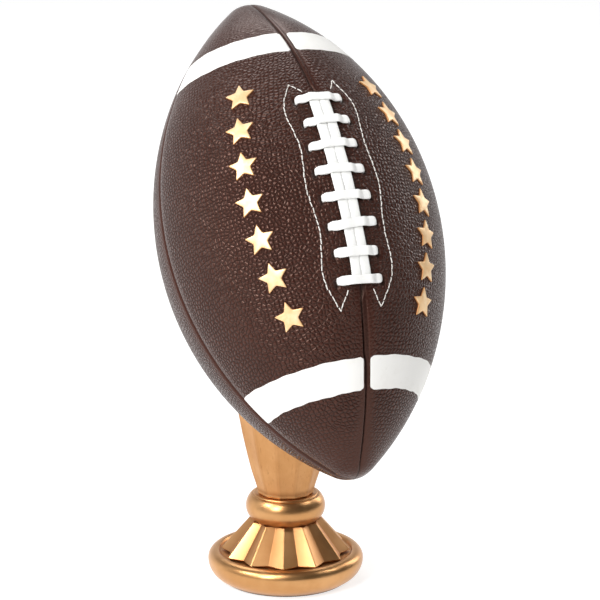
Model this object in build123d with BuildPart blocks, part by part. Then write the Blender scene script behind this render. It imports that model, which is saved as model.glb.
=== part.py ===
from build123d import *
import os
from math import asin, cos, degrees, radians, sin, sqrt

# A football award: a laced, four-panel football leans back on a turned, gold-painted stand.
# Millimetres, +Z up. The stand's axis is Z, the felt's underside is z = 0, and the laces face -Y.
# The ball is a hollow two-part core covered with four panels. One steel rod runs from a nut in
# the foot, up through the stand, into a threaded insert in the core, and clamps the whole stack.

# ---- driving dimensions: the ball -----------------------------------------------------------
BALL_LENGTH = 280.0
BALL_RADIUS = 78.7
NOSE_RADIUS = 19.0  # rounding of each pointed end
BALL_LEAN = 34.3  # the ball's long axis from the vertical, top end to the back
BALL_CENTRE = Vector(0, -20.0, 204.0)
PANEL_T = 3.0  # leather with its lining
SEAM_GAP = 0.1  # half of the slit between two panels
CORE_T = 3.0
TONGUE_T = 1.4
TONGUE_REACH = 4.0  # how far the core's tongue goes past the joint
FIT_GAP = 0.15  # slip fit of a tongue or a spigot

STRIPE_NEAR = 89.0  # from the ball's middle, along its long axis
STRIPE_FAR = 104.3
STRIPE_T = 0.5
STRIPE_SEAM_GAP = 2.0  # bare leather between a stripe and the front seam

LACE_PITCH = 15.3
LACE_COUNT = 8
LACE_W = 5.7
LACE_T = 1.7
LACE_GAP = 0.1
CROSSING_HALF = 13.2  # half of a crossing's length
CROSSING_W = 5.4
CROSSING_SINK = 1.9  # how far a crossing's end goes into its slot
SLOT_W = 2.8
SLOT_LENGTH = 6.6
FACING_W = 48.0
FACING_LENGTH = 142.0
FACING_T = 0.8

STITCH_PITCH = 3.4
STITCH_LENGTH = 2.7
THREAD_RADIUS = 0.4

STAR_RADIUS = 8.8
STAR_WAIST = 4.2
STAR_POINTS = 5
STAR_T = 0.8
STARS_LEFT = 7
STARS_RIGHT = 8
STAR_ROW_HALF = 63.2  # from the ball's middle to the last star in a row
STAR_ARC = 38.5  # degrees round the ball from the front seam, at the row's middle
STAR_ARC_DROP = 3.5  # how much nearer to the front seam the row's ends are

# ---- driving dimensions: the stand ----------------------------------------------------------
FELT_T = 1.5
FELT_RADIUS = 37.0
FOOT_RADIUS = 44.3
FOOT_WIDEST_Z = 11.8
FOOT_UNDER_ROUND = 11.2  # rounding from the widest level down to the felt
FOOT_CREST_ROUND = 5.2  # rounding from the widest level up to the crest
FOOT_TROUGH_RADIUS = 37.4
FOOT_TOP_Z = 15.2
FOOT_RECESS_RADIUS = 32.0
FOOT_RECESS_Z = 12.0
BALLAST_RADIUS = 31.8
BALLAST_T = 9.0
BALLAST_POCKET_RADIUS = 9.0
BALLAST_POCKET_DEPTH = 7.0

PLEATS = 12
PLEAT_TURN = 5.5  # degrees, from the front to the nearest ridge
PLINTH_RADIUS = 30.0  # the skirt's own round base, inside its pleats
SKIRT_HEM_Z = 16.9
SKIRT_TOP_Z = 35.2
SKIRT_HEM_RIDGE = 36.8
SKIRT_HEM_VALLEY = 32.4
SKIRT_TOP_RIDGE = 20.6
SKIRT_TOP_VALLEY = 18.2

BEAD_RADIUS = 22.6
BEAD_TUBE = 9.5
BEAD_Z = 42.9
BEAD_TOP_Z = 50.6

STEM_FACETS = 12
STEM_TURN = -4.0
STEM_LEVELS = ((50.6, 15.8), (57, 17.6), (66, 20.4), (78, 23.4), (92, 26.4), (112, 29.6), (150, 32.0))
PAD_T = 1.5
PAD_RADIUS = 24.0

SPIGOT_RADIUS = 9.0
SPIGOT_LENGTH = 3.0

ROD_RADIUS = 3.0
ROD_CHAMFER = 0.6
ROD_HOLE_RADIUS = 3.4
ROD_LOW_Z = 2.4
ROD_HIGH_Z = 143.0
NUT_RADIUS = 5.77  # M6, 10 mm across its flats
NUT_T = 5.0
WASHER_RADIUS = 6.0
WASHER_T = 1.6
SPRING_WASHER_RADIUS = 5.6
SPRING_WASHER_GAP = 0.6
BOSS_RADIUS = 11.0
BOSS_TOP_Z = 146.0
INSERT_RADIUS = 5.0
INSERT_LENGTH = 14.0

FAR = 400.0  # longer than anything here, for trimming blocks

# ---- the ball's own frame -------------------------------------------------------------------
BALL_RIGHT = Vector(1, 0, 0)
BALL_BACK = Vector(0, cos(radians(BALL_LEAN)), -sin(radians(BALL_LEAN)))
BALL_UP = Vector(0, sin(radians(BALL_LEAN)), cos(radians(BALL_LEAN)))
BALL = Plane(origin=BALL_CENTRE, x_dir=BALL_RIGHT, z_dir=BALL_UP)
BALL_SIDE_ON = Plane(origin=BALL_CENTRE, x_dir=BALL_RIGHT, z_dir=-BALL_BACK)
BALL_AXIS = Axis(BALL_CENTRE, BALL_UP)
# Each side of the ball is one long arc, tangent to the nose arc at either end.
NOSE_UP = BALL_LENGTH / 2 - NOSE_RADIUS  # height of the nose arc's centre
SIDE_RADIUS = (BALL_RADIUS**2 + NOSE_UP**2 - NOSE_RADIUS**2) / (2 * (BALL_RADIUS - NOSE_RADIUS))
SIDE_OFFSET = SIDE_RADIUS - BALL_RADIUS  # from the ball's axis back to the long arc's centre
LACE_HEIGHTS = [(i - (LACE_COUNT - 1) / 2) * LACE_PITCH for i in range(LACE_COUNT)]


def radius_at(height):
    """The ball's radius at a height along its axis, on the long arc."""
    return sqrt(SIDE_RADIUS**2 - height**2) - SIDE_OFFSET


def on_ball(height, arc):
    """A plane on the ball's surface: x to the right, y towards the top end, z outwards.
    The arc is in degrees round the ball from the front seam, positive to the right."""
    turn = radians(arc)
    slope = sqrt(1 - (height / SIDE_RADIUS) ** 2)
    round_ball = BALL_RIGHT * sin(turn) - BALL_BACK * cos(turn)
    return Plane(
        origin=BALL_CENTRE + round_ball * radius_at(height) + BALL_UP * height,
        x_dir=BALL_RIGHT * cos(turn) + BALL_BACK * sin(turn),
        z_dir=round_ball * slope + BALL_UP * (height / SIDE_RADIUS),
    )


def across_seam(height):
    """A plane across the front seam: x to the right, y outwards."""
    seat = on_ball(height, 0)
    return Plane(origin=seat.origin, x_dir=BALL_RIGHT, z_dir=-seat.y_dir)


def ball_form(grow):
    """The whole ball, grown by an amount, or shrunk if it is negative."""
    nose = NOSE_RADIUS + grow
    side = SIDE_RADIUS + grow
    tip = BALL_LENGTH / 2 + grow
    join_sine = NOSE_UP / (SIDE_RADIUS - NOSE_RADIUS)
    join = (side * sqrt(1 - join_sine**2) - SIDE_OFFSET, side * join_sine)
    half_sine = sqrt((1 + join_sine) / 2)
    on_nose = (nose * sqrt(1 - half_sine**2), NOSE_UP + nose * half_sine)
    with BuildPart() as form:
        with BuildSketch(BALL_SIDE_ON):
            with BuildLine():
                Line((0, -tip), (0, tip))
                ThreePointArc((0, tip), on_nose, join)
                ThreePointArc(join, (side - SIDE_OFFSET, 0), (join[0], -join[1]))
                ThreePointArc((join[0], -join[1]), (on_nose[0], -on_nose[1]), (0, -tip))
            make_face()
        revolve(axis=BALL_AXIS)
    return form.part


def ball_wall(outside, inside):
    """The space between two ball forms."""
    with BuildPart() as wall:
        add(outside)
        add(inside, mode=Mode.SUBTRACT)
    return wall.part


def zigzag_ring(points, outer, inner, first_turn):
    """Corners of a star-shaped outline that steps between two radii, from one outer corner."""
    corners = []
    for i in range(2 * points):
        turn = radians(first_turn + i * 180 / points)
        reach = inner if i % 2 else outer
        corners.append((reach * cos(turn), reach * sin(turn)))
    return corners


def save(piece, name):
    """Labels a finished piece and writes it."""
    piece.part.label = name
    export_step(piece.part, f"parts/{name}.step")


os.makedirs("parts", exist_ok=True)
ball_skin = ball_form(0)
ball_inside = ball_form(-PANEL_T)
core_inside = ball_form(-PANEL_T - CORE_T)
saddle_outside = ball_form(PAD_T)
core_wall = ball_wall(ball_inside, core_inside)
panel_wall = ball_wall(ball_skin, ball_inside)
facing_wall = ball_wall(ball_form(-PANEL_T + FACING_T), ball_inside)
stripe_wall = ball_wall(ball_form(STRIPE_T), ball_skin)
star_wall = ball_wall(ball_form(STAR_T), ball_skin)
tongue_inside = ball_form(-PANEL_T - CORE_T - TONGUE_T)
tongue_root = ball_wall(core_inside, tongue_inside)
tongue_free = ball_wall(ball_form(-PANEL_T - CORE_T - FIT_GAP), tongue_inside)

# ---- the foot and what is in it -------------------------------------------------------------
with BuildPart() as felt_pad:
    with BuildSketch():
        Circle(FELT_RADIUS)
    extrude(amount=FELT_T)
save(felt_pad, "felt_pad")

FOOT_UNDER_TURN = degrees(asin((FOOT_WIDEST_Z - FELT_T) / FOOT_UNDER_ROUND))
with BuildPart() as foot:
    with BuildSketch(Plane.XZ):
        with BuildLine():
            under = CenterArc(
                (FOOT_RADIUS - FOOT_UNDER_ROUND, FOOT_WIDEST_Z),
                FOOT_UNDER_ROUND,
                -FOOT_UNDER_TURN,
                FOOT_UNDER_TURN,
            )
            crest = CenterArc(
                (FOOT_RADIUS - FOOT_CREST_ROUND, FOOT_WIDEST_Z), FOOT_CREST_ROUND, 0, 90
            )
            Polyline(crest @ 1, (FOOT_TROUGH_RADIUS, FOOT_TOP_Z), (0, FOOT_TOP_Z), (0, FELT_T), under @ 0)
        make_face()
    revolve(axis=Axis.Z)
    with BuildSketch(Plane.XY.offset(FELT_T)):
        Circle(FOOT_RECESS_RADIUS)
    extrude(amount=FOOT_RECESS_Z - FELT_T, mode=Mode.SUBTRACT)
    with BuildSketch(Plane.XY.offset(FOOT_RECESS_Z)):
        Circle(SPIGOT_RADIUS + FIT_GAP)
    extrude(amount=FOOT_TOP_Z - FOOT_RECESS_Z, mode=Mode.SUBTRACT)
save(foot, "foot")

BALLAST_LOW_Z = FOOT_RECESS_Z - BALLAST_T
POCKET_Z = BALLAST_LOW_Z + BALLAST_POCKET_DEPTH
with BuildPart() as ballast_disc:
    with BuildSketch(Plane.XY.offset(BALLAST_LOW_Z)):
        Circle(BALLAST_RADIUS)
    extrude(amount=BALLAST_T)
    with Locations(Location((0, 0, BALLAST_LOW_Z), (180, 0, 0))):
        CounterBoreHole(ROD_HOLE_RADIUS, BALLAST_POCKET_RADIUS, BALLAST_POCKET_DEPTH)
save(ballast_disc, "ballast_disc")

with BuildPart() as flat_washer:
    with BuildSketch(Plane.XY.offset(POCKET_Z)):
        Circle(WASHER_RADIUS)
        Circle(ROD_HOLE_RADIUS, mode=Mode.SUBTRACT)
    extrude(amount=-WASHER_T)
save(flat_washer, "flat_washer")

with BuildPart() as spring_washer:
    with BuildSketch(Plane.XY.offset(POCKET_Z - WASHER_T)):
        Circle(SPRING_WASHER_RADIUS)
        Circle(ROD_HOLE_RADIUS, mode=Mode.SUBTRACT)
        with Locations((SPRING_WASHER_RADIUS, 0)):
            Rectangle(SPRING_WASHER_RADIUS, SPRING_WASHER_GAP, mode=Mode.SUBTRACT)
    extrude(amount=-WASHER_T)
save(spring_washer, "spring_washer")

with BuildPart() as rod_nut:
    with BuildSketch(Plane.XY.offset(POCKET_Z - 2 * WASHER_T)):
        RegularPolygon(NUT_RADIUS, 6)
        Circle(ROD_RADIUS, mode=Mode.SUBTRACT)
    extrude(amount=-NUT_T)
save(rod_nut, "rod_nut")

with BuildPart() as tie_rod:
    with BuildSketch(Plane.XY.offset(ROD_LOW_Z)):
        Circle(ROD_RADIUS)
    extrude(amount=ROD_HIGH_Z - ROD_LOW_Z)
    chamfer(tie_rod.edges().filter_by(GeomType.CIRCLE), ROD_CHAMFER)
save(tie_rod, "tie_rod")

# ---- the skirt, the bead and the stem -------------------------------------------------------
FIRST_RIDGE = PLEAT_TURN - 90
with BuildPart() as skirt:
    with BuildSketch(Plane.XY.offset(SKIRT_HEM_Z)):
        Polygon(*zigzag_ring(PLEATS, SKIRT_HEM_RIDGE, SKIRT_HEM_VALLEY, FIRST_RIDGE), align=None)
    with BuildSketch(Plane.XY.offset(SKIRT_TOP_Z)):
        Polygon(*zigzag_ring(PLEATS, SKIRT_TOP_RIDGE, SKIRT_TOP_VALLEY, FIRST_RIDGE), align=None)
    loft(ruled=True)
    with BuildSketch(Plane.XY.offset(SKIRT_HEM_Z)):
        Circle(PLINTH_RADIUS)
    extrude(amount=FOOT_TOP_Z - SKIRT_HEM_Z)
    with BuildSketch(Plane.XY.offset(FOOT_TOP_Z)):
        Circle(SPIGOT_RADIUS)
    extrude(amount=-SPIGOT_LENGTH)
    with BuildSketch(Plane.XY.offset(SKIRT_TOP_Z)):
        Circle(SPIGOT_RADIUS + FIT_GAP)
    extrude(amount=-SPIGOT_LENGTH - FIT_GAP, mode=Mode.SUBTRACT)
    with Locations((0, 0, SKIRT_TOP_Z)):
        Hole(ROD_HOLE_RADIUS)
save(skirt, "skirt")

with BuildPart() as bead:
    with BuildSketch(Plane.XZ):
        with Locations((BEAD_RADIUS - BEAD_TUBE, BEAD_Z)):
            Circle(BEAD_TUBE)
            Rectangle(2 * BEAD_TUBE, BEAD_TOP_Z - SKIRT_TOP_Z, mode=Mode.INTERSECT)
        with Locations((0, BEAD_Z)):
            Rectangle(
                BEAD_RADIUS - BEAD_TUBE,
                BEAD_TOP_Z - SKIRT_TOP_Z,
                align=(Align.MIN, Align.CENTER),
            )
    revolve(axis=Axis.Z)
    with BuildSketch(Plane.XY.offset(SKIRT_TOP_Z)):
        Circle(SPIGOT_RADIUS)
    extrude(amount=-SPIGOT_LENGTH)
    with BuildSketch(Plane.XY.offset(BEAD_TOP_Z)):
        Circle(SPIGOT_RADIUS + FIT_GAP)
    extrude(amount=-SPIGOT_LENGTH - FIT_GAP, mode=Mode.SUBTRACT)
    with Locations((0, 0, BEAD_TOP_Z)):
        Hole(ROD_HOLE_RADIUS)
save(bead, "bead")

with BuildPart() as stem:
    for level, radius in STEM_LEVELS:
        with BuildSketch(Plane.XY.offset(level)):
            RegularPolygon(radius, STEM_FACETS, rotation=STEM_TURN)
    loft()
    add(saddle_outside, mode=Mode.SUBTRACT)
    with BuildSketch(Plane.XY.offset(BEAD_TOP_Z)):
        Circle(SPIGOT_RADIUS)
    extrude(amount=-SPIGOT_LENGTH)
    with Locations((0, 0, BEAD_TOP_Z)):
        Hole(ROD_HOLE_RADIUS)
save(stem, "stem")

with BuildPart() as saddle_pad:
    with BuildSketch(Plane.XY.offset(BEAD_TOP_Z)):
        Circle(PAD_RADIUS)
        Circle(ROD_HOLE_RADIUS, mode=Mode.SUBTRACT)
    extrude(amount=BALL_CENTRE.Z - BEAD_TOP_Z)
    add(saddle_outside, mode=Mode.INTERSECT)
    add(ball_skin, mode=Mode.SUBTRACT)
save(saddle_pad, "saddle_pad")

# ---- the ball's core ------------------------------------------------------------------------
with BuildPart() as core_back:
    with BuildSketch(Plane.XY.offset(BEAD_TOP_Z)):
        Circle(BOSS_RADIUS)
    extrude(amount=BOSS_TOP_Z - BEAD_TOP_Z)
    add(ball_inside, mode=Mode.INTERSECT)
    add(core_wall)
    with Locations(BALL):
        Box(FAR, FAR, FAR, align=(Align.CENTER, Align.MIN, Align.CENTER), mode=Mode.INTERSECT)
    with BuildSketch(Plane.XY.offset(BOSS_TOP_Z)):
        Circle(INSERT_RADIUS)
    extrude(amount=-INSERT_LENGTH, mode=Mode.SUBTRACT)
    with BuildSketch(Plane.XY.offset(BOSS_TOP_Z)):
        Circle(ROD_HOLE_RADIUS)
    extrude(amount=BEAD_TOP_Z - BOSS_TOP_Z, mode=Mode.SUBTRACT)
save(core_back, "core_back")

with BuildPart() as tongue:
    add(tongue_free)
    with Locations(BALL):
        Box(FAR, 2 * TONGUE_REACH, FAR, mode=Mode.INTERSECT)

with BuildPart() as core_front:
    add(tongue_root)
    with Locations(BALL):
        Box(FAR, 2 * TONGUE_REACH, FAR, mode=Mode.INTERSECT)
    add(core_wall)
    with Locations(BALL):
        Box(FAR, FAR, FAR, align=(Align.CENTER, Align.MAX, Align.CENTER), mode=Mode.INTERSECT)
    add(tongue.part)
save(core_front, "core_front")

with BuildPart() as rod_insert:
    with BuildSketch(Plane.XY.offset(BOSS_TOP_Z)):
        Circle(INSERT_RADIUS)
        Circle(ROD_RADIUS, mode=Mode.SUBTRACT)
    extrude(amount=-INSERT_LENGTH)
save(rod_insert, "rod_insert")

# ---- the panels and the facing under the lacing ---------------------------------------------
with BuildPart() as lace_facing:
    add(facing_wall)
    with Locations(BALL):
        Box(
            FACING_W,
            FAR,
            FACING_LENGTH,
            align=(Align.CENTER, Align.MAX, Align.CENTER),
            mode=Mode.INTERSECT,
        )
save(lace_facing, "lace_facing")

for name, side, face in (
    ("panel_front_left", -1, -1),
    ("panel_front_right", 1, -1),
    ("panel_back_left", -1, 1),
    ("panel_back_right", 1, 1),
):
    with BuildPart() as panel:
        add(panel_wall)
        with Locations(BALL.location * Location((side * SEAM_GAP, face * SEAM_GAP, 0))):
            Box(
                FAR,
                FAR,
                FAR,
                align=(
                    Align.MIN if side > 0 else Align.MAX,
                    Align.MIN if face > 0 else Align.MAX,
                    Align.CENTER,
                ),
                mode=Mode.INTERSECT,
            )
        if face < 0:
            add(lace_facing.part, mode=Mode.SUBTRACT)
            for height in LACE_HEIGHTS:
                with BuildSketch(on_ball(height, 0)):
                    with Locations((side * (CROSSING_HALF - LACE_T / 2), 0)):
                        SlotOverall(SLOT_LENGTH, SLOT_W, rotation=90)
                extrude(amount=-2 * PANEL_T, mode=Mode.SUBTRACT)
        else:
            with BuildSketch(Plane.XY.offset(BEAD_TOP_Z)):
                Circle(ROD_HOLE_RADIUS)
            extrude(amount=BALL_CENTRE.Z - BEAD_TOP_Z, mode=Mode.SUBTRACT)
    save(panel, name)

# ---- the white stripes ----------------------------------------------------------------------
for end_name, end in (("upper", 1), ("lower", -1)):
    for side_name, side in (("left", -1), ("right", 1)):
        with BuildPart() as stripe:
            add(stripe_wall)
            with Locations(BALL.location * Location((0, 0, end * (STRIPE_NEAR + STRIPE_FAR) / 2))):
                Box(FAR, FAR, STRIPE_FAR - STRIPE_NEAR, mode=Mode.INTERSECT)
            with Locations(BALL.location * Location((side * STRIPE_SEAM_GAP, 0, 0))):
                Box(
                    FAR,
                    FAR,
                    FAR,
                    align=(Align.MIN if side > 0 else Align.MAX, Align.MAX, Align.CENTER),
                    mode=Mode.INTERSECT,
                )
        save(stripe, f"stripe_{end_name}_{side_name}")

# ---- the lacing -----------------------------------------------------------------------------
RUN_HALF = LACE_HEIGHTS[-1] + CROSSING_W / 2
RUN_TURN = 2 * degrees(RUN_HALF / SIDE_RADIUS)
RUN_AXIS = Axis(BALL_CENTRE + BALL_BACK * SIDE_OFFSET, -BALL_RIGHT)
for name, side in (("lace_run_left", -1), ("lace_run_right", 1)):
    with BuildPart() as lace_run:
        with BuildSketch(across_seam(-RUN_HALF)):
            with Locations((side * (LACE_W / 2 + LACE_GAP), LACE_T / 2 + LACE_GAP)):
                RectangleRounded(LACE_W, LACE_T, LACE_T * 0.4)
        revolve(axis=RUN_AXIS, revolution_arc=RUN_TURN)
    save(lace_run, name)

HUMP = LACE_T + 2 * LACE_GAP  # underside of a crossing, over the runs
KNEE = LACE_W + LACE_T  # where a crossing starts down, from the seam
INNER = CROSSING_HALF - LACE_T
for number, height in enumerate(reversed(LACE_HEIGHTS), start=1):
    curve = radius_at(height) / sqrt(1 - (height / SIDE_RADIUS) ** 2)
    drop = CROSSING_HALF**2 / (2 * curve)  # how far the ball falls away at the crossing's end
    bottom = -drop - CROSSING_SINK
    with BuildPart() as crossing:
        with BuildSketch(across_seam(height)):
            with BuildLine():
                Polyline(
                    (-CROSSING_HALF, bottom),
                    (-CROSSING_HALF, LACE_T - drop),
                    (-KNEE, LACE_T + HUMP),
                    (KNEE, LACE_T + HUMP),
                    (CROSSING_HALF, LACE_T - drop),
                    (CROSSING_HALF, bottom),
                    (INNER, bottom),
                    (INNER, -drop / 2),
                    (KNEE - LACE_T / 2, HUMP),
                    (LACE_T / 2 - KNEE, HUMP),
                    (-INNER, -drop / 2),
                    (-INNER, bottom),
                    close=True,
                )
            make_face()
        extrude(amount=CROSSING_W / 2, both=True)
    save(crossing, f"lace_crossing_{number}")

# ---- the stitching round the lacing ---------------------------------------------------------
for name, side in (("facing_stitches_left", -1), ("facing_stitches_right", 1)):
    # The line of stitches laid flat: x across from the front seam, y towards the top end.
    with BuildLine() as stitch_line:
        Line((side * 9.5, 60.5), (side * 13.5, 66.0))
        Spline(
            (side * 13.5, 66.0),
            (side * 21.0, 48.0),
            (side * 19.4, 24.0),
            (side * 21.8, 0.0),
            (side * 19.4, -24.0),
            (side * 21.0, -48.0),
            (side * 13.5, -66.0),
        )
        Line((side * 13.5, -66.0), (side * 9.5, -60.5))
    line = stitch_line.wires()[0]
    stitch_count = round(line.length / STITCH_PITCH)
    with BuildPart() as stitches:
        for i in range(stitch_count):
            where = line.position_at((i + 0.5) / stitch_count)
            along = line.tangent_at((i + 0.5) / stitch_count)
            seat = on_ball(where.Y, degrees(where.X / radius_at(where.Y)))
            with Locations(
                Plane(
                    origin=seat.origin + seat.z_dir * THREAD_RADIUS,
                    x_dir=seat.x_dir * along.X + seat.y_dir * along.Y,
                    z_dir=seat.z_dir,
                )
            ):
                Cylinder(THREAD_RADIUS, STITCH_LENGTH, rotation=(0, 90, 0))
    save(stitches, name)

# ---- the raised stars -----------------------------------------------------------------------
for name, side, count in (("stars_left", -1, STARS_LEFT), ("stars_right", 1, STARS_RIGHT)):
    with BuildPart() as stars:
        for i in range(count):
            height = STAR_ROW_HALF * (1 - 2 * i / (count - 1))
            arc = side * (STAR_ARC - STAR_ARC_DROP * (height / STAR_ROW_HALF) ** 2)
            with BuildSketch(on_ball(height, arc)):
                Polygon(*zigzag_ring(STAR_POINTS, STAR_RADIUS, STAR_WAIST, 90), align=None)
            extrude(amount=2 * STAR_T, both=True)
        add(star_wall, mode=Mode.INTERSECT)
    save(stars, name)
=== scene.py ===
import math

import bmesh
import bpy
import numpy as np
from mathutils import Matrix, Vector


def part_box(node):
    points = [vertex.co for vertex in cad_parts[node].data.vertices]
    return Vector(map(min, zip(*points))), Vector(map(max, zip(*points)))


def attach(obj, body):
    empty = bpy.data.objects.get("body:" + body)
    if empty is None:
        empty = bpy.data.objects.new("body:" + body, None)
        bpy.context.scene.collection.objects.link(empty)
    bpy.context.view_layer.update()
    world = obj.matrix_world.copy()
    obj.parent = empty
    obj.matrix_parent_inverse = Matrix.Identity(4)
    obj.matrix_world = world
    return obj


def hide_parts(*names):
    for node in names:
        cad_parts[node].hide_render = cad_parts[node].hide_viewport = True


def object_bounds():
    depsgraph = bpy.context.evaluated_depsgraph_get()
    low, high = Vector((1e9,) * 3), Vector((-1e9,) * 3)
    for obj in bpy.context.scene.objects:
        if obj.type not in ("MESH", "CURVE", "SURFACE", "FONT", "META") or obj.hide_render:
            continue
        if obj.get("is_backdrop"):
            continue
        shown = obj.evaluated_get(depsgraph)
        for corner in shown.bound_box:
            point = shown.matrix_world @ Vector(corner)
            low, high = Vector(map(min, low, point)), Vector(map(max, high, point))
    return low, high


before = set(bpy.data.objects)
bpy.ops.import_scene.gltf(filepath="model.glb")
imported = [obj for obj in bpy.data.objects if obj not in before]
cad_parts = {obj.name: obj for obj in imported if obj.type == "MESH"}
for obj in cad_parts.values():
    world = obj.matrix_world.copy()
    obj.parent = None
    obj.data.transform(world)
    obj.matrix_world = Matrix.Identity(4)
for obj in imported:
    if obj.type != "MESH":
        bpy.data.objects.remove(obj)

bl_info = {
    "name": "Football Award on a Gold Stand",
    "version": (1, 0, 0),
    "blender": (4, 5, 0),
    "location": "View3D > Sidebar > Football Award",
    "description": "Builds the looks of a laced leather football award around its packed frame",
    "category": "Add Mesh",
}

FRAME_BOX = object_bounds()
MM = 0.001  # the pieces are worked out in millimetres, and the scene is in metres
BODY = "root"
TIP_SLOPE = math.radians(89.2)  # where the panels stop short of the ball's tips
SEAM_GAP = 0.06  # half the gap between two panels
CREASE_ASIDE = 1.35  # from the front seam to the second crease above the laces
PEBBLE_ACROSS, PEBBLE_ALONG = 2.25, 2.1  # pitch of the leather's grain
PAINT_OVER, PAINT_UNDER = 0.17, 0.25  # how far stripe paint stands off the leather and goes in
PAINT_CORNER = 1.9  # rounding of a stripe's corners
LACE_OFF = 0.15  # from the leather to the underside of a long lace run
STITCH_POINTS = 14  # points along one stitch
STAR_OVER, STAR_UNDER = 0.90, 0.45  # how far a star stands off the leather and goes in
STAR_ROW_HALF = 63.2  # from the ball's middle to the first and last star
STEM_SEARCH = 99  # how far up from the bead the stem is followed to meet the ball
FOOT_TOP = 15.2  # level of the foot's flat top, under the skirt
PANEL_NODES = ("panel_front_left", "panel_front_right", "panel_back_left", "panel_back_right")
STEEL_NODES = ("tie_rod", "flat_washer", "spring_washer", "rod_nut")


# ---- sizes that come from the frame ---------------------------------------------------------
def box_mm(*nodes):
    """The lowest and highest corner of several nodes together, in millimetres."""
    lows, highs = zip(*(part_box(node) for node in nodes))
    return np.min(lows, axis=0) / MM, np.max(highs, axis=0) / MM


BALL_LOW, BALL_HIGH = box_mm(*PANEL_NODES)
BALL_MIDDLE = (BALL_LOW + BALL_HIGH) / 2
FELT_HIGH, BEAD_HIGH, SKIRT_HIGH = (box_mm(node)[1] for node in ("felt_pad", "bead", "skirt"))


# ---- small helpers --------------------------------------------------------------------------
def ease(low, high, value):
    """0 below low, 1 above high, and a smooth step between."""
    t = np.clip((np.asarray(value, float) - low) / (high - low), 0, 1)
    return t * t * (3 - 2 * t)


def dent(distance, width):
    """1 at no distance, falling smoothly to 0 a couple of widths away."""
    return np.exp(-((np.asarray(distance, float) / width) ** 2))


def smooth_line(points, count):
    """Points evenly spread along a smooth line through the given ones, as an array."""
    given = np.asarray(points, float)
    ends = np.vstack([2 * given[0] - given[1], given, 2 * given[-1] - given[-2]])
    t = np.linspace(0, 1, 24, endpoint=False)[:, None]
    spans = []
    for a, b, c, d in zip(ends, ends[1:], ends[2:], ends[3:]):
        spans.append(
            0.5 * (2 * b + (c - a) * t + (2 * a - 5 * b + 4 * c - d) * t**2 + (3 * b - a - 3 * c + d) * t**3)
        )
    fine = np.vstack([*spans, given[-1:]])
    return spread(fine, count)


def spread(fine, count):
    """Points evenly spread along a polyline, both its ends among them."""
    walked = np.concatenate([[0], np.cumsum(np.linalg.norm(np.diff(fine, axis=0), axis=1))])
    wanted = np.linspace(0, walked[-1], count)
    return np.stack([np.interp(wanted, walked, fine[:, k]) for k in range(fine.shape[1])], axis=1)


def unit(vectors):
    return vectors / np.maximum(np.linalg.norm(vectors, axis=-1, keepdims=True), 1e-12)


def arc_points(middle, radius, start, end, count):
    """Points on an arc in a profile's plane, from one angle to another in degrees."""
    turns = np.radians(np.linspace(start, end, count))
    return [(middle[0] + radius * math.cos(t), middle[1] + radius * math.sin(t)) for t in turns]


class Shell:
    """Vertices and faces gathered for one piece, in millimetres."""

    def __init__(self):
        self.points, self.faces, self.marks = [], [], {}
        self.count = 0

    def add(self, points, **marks):
        """Adds points and gives back their numbers, in the same arrangement."""
        points = np.asarray(points, float)
        flat = points.reshape(-1, 3)
        numbers = np.arange(self.count, self.count + len(flat)).reshape(points.shape[:-1])
        self.points.append(flat)
        for name, values in marks.items():
            self.marks.setdefault(name, []).append((self.count, np.asarray(values, float)))
        self.count += len(flat)
        return numbers

    def skin(self, rows, around=False, flip=False):
        """Faces between each row of point numbers and the next."""
        if around:
            rows = np.concatenate([rows, rows[:, :1]], axis=1)
        quads = np.stack([rows[:-1, :-1], rows[:-1, 1:], rows[1:, 1:], rows[1:, :-1]], axis=-1).reshape(-1, 4)
        self.faces.append(quads[:, ::-1] if flip else quads)

    def fan(self, ring, hub, flip=False):
        """Triangles from a closed ring of point numbers to one point."""
        ring = np.asarray(ring)
        thirds = np.stack([ring, np.roll(ring, -1), np.full(len(ring), hub), np.full(len(ring), hub)], axis=-1)
        self.faces.append(thirds[:, ::-1] if flip else thirds)

    def slab(self, outer, inner):
        """A closed slab: both of its faces, and the four walls between their edges."""
        self.skin(outer)
        self.skin(inner, flip=True)
        for edge in (np.s_[:, 0], np.s_[:, -1], np.s_[0], np.s_[-1]):
            self.skin(np.stack([outer[edge], inner[edge]], axis=1))

    def make(self, name, material, smooth_angle=None, weld=0.0):
        """The finished object, riding on the body."""
        mesh = bpy.data.meshes.new(name)
        points = np.concatenate(self.points) * MM
        faces = []
        for quad in np.concatenate(self.faces).tolist():
            corners = list(dict.fromkeys(quad))
            if len(corners) > 2:
                faces.append(corners)
        mesh.from_pydata(points.tolist(), [], faces)
        for mark, parts in self.marks.items():
            width = 3 if parts[0][1].ndim > 1 and parts[0][1].shape[-1] == 3 else 1
            kind = "FLOAT_VECTOR" if width == 3 else "FLOAT"
            values = np.zeros((self.count, width))
            for start, part in parts:
                part = part.reshape(-1, width)
                values[start : start + len(part)] = part
            layer = mesh.attributes.new(mark, kind, "POINT")
            layer.data.foreach_set("vector" if width == 3 else "value", values.astype(np.float32).ravel())
        shape = bmesh.new()
        shape.from_mesh(mesh)
        if weld:
            bmesh.ops.remove_doubles(shape, verts=shape.verts, dist=weld * MM)
        bmesh.ops.recalc_face_normals(shape, faces=shape.faces)
        shape.to_mesh(mesh)
        shape.free()
        mesh.shade_smooth()
        if smooth_angle is not None:
            mesh.set_sharp_from_angle(angle=math.radians(smooth_angle))
        mesh.materials.append(material)
        piece = bpy.data.objects.new(name, mesh)
        bpy.context.scene.collection.objects.link(piece)
        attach(piece, BODY)
        return piece


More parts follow.
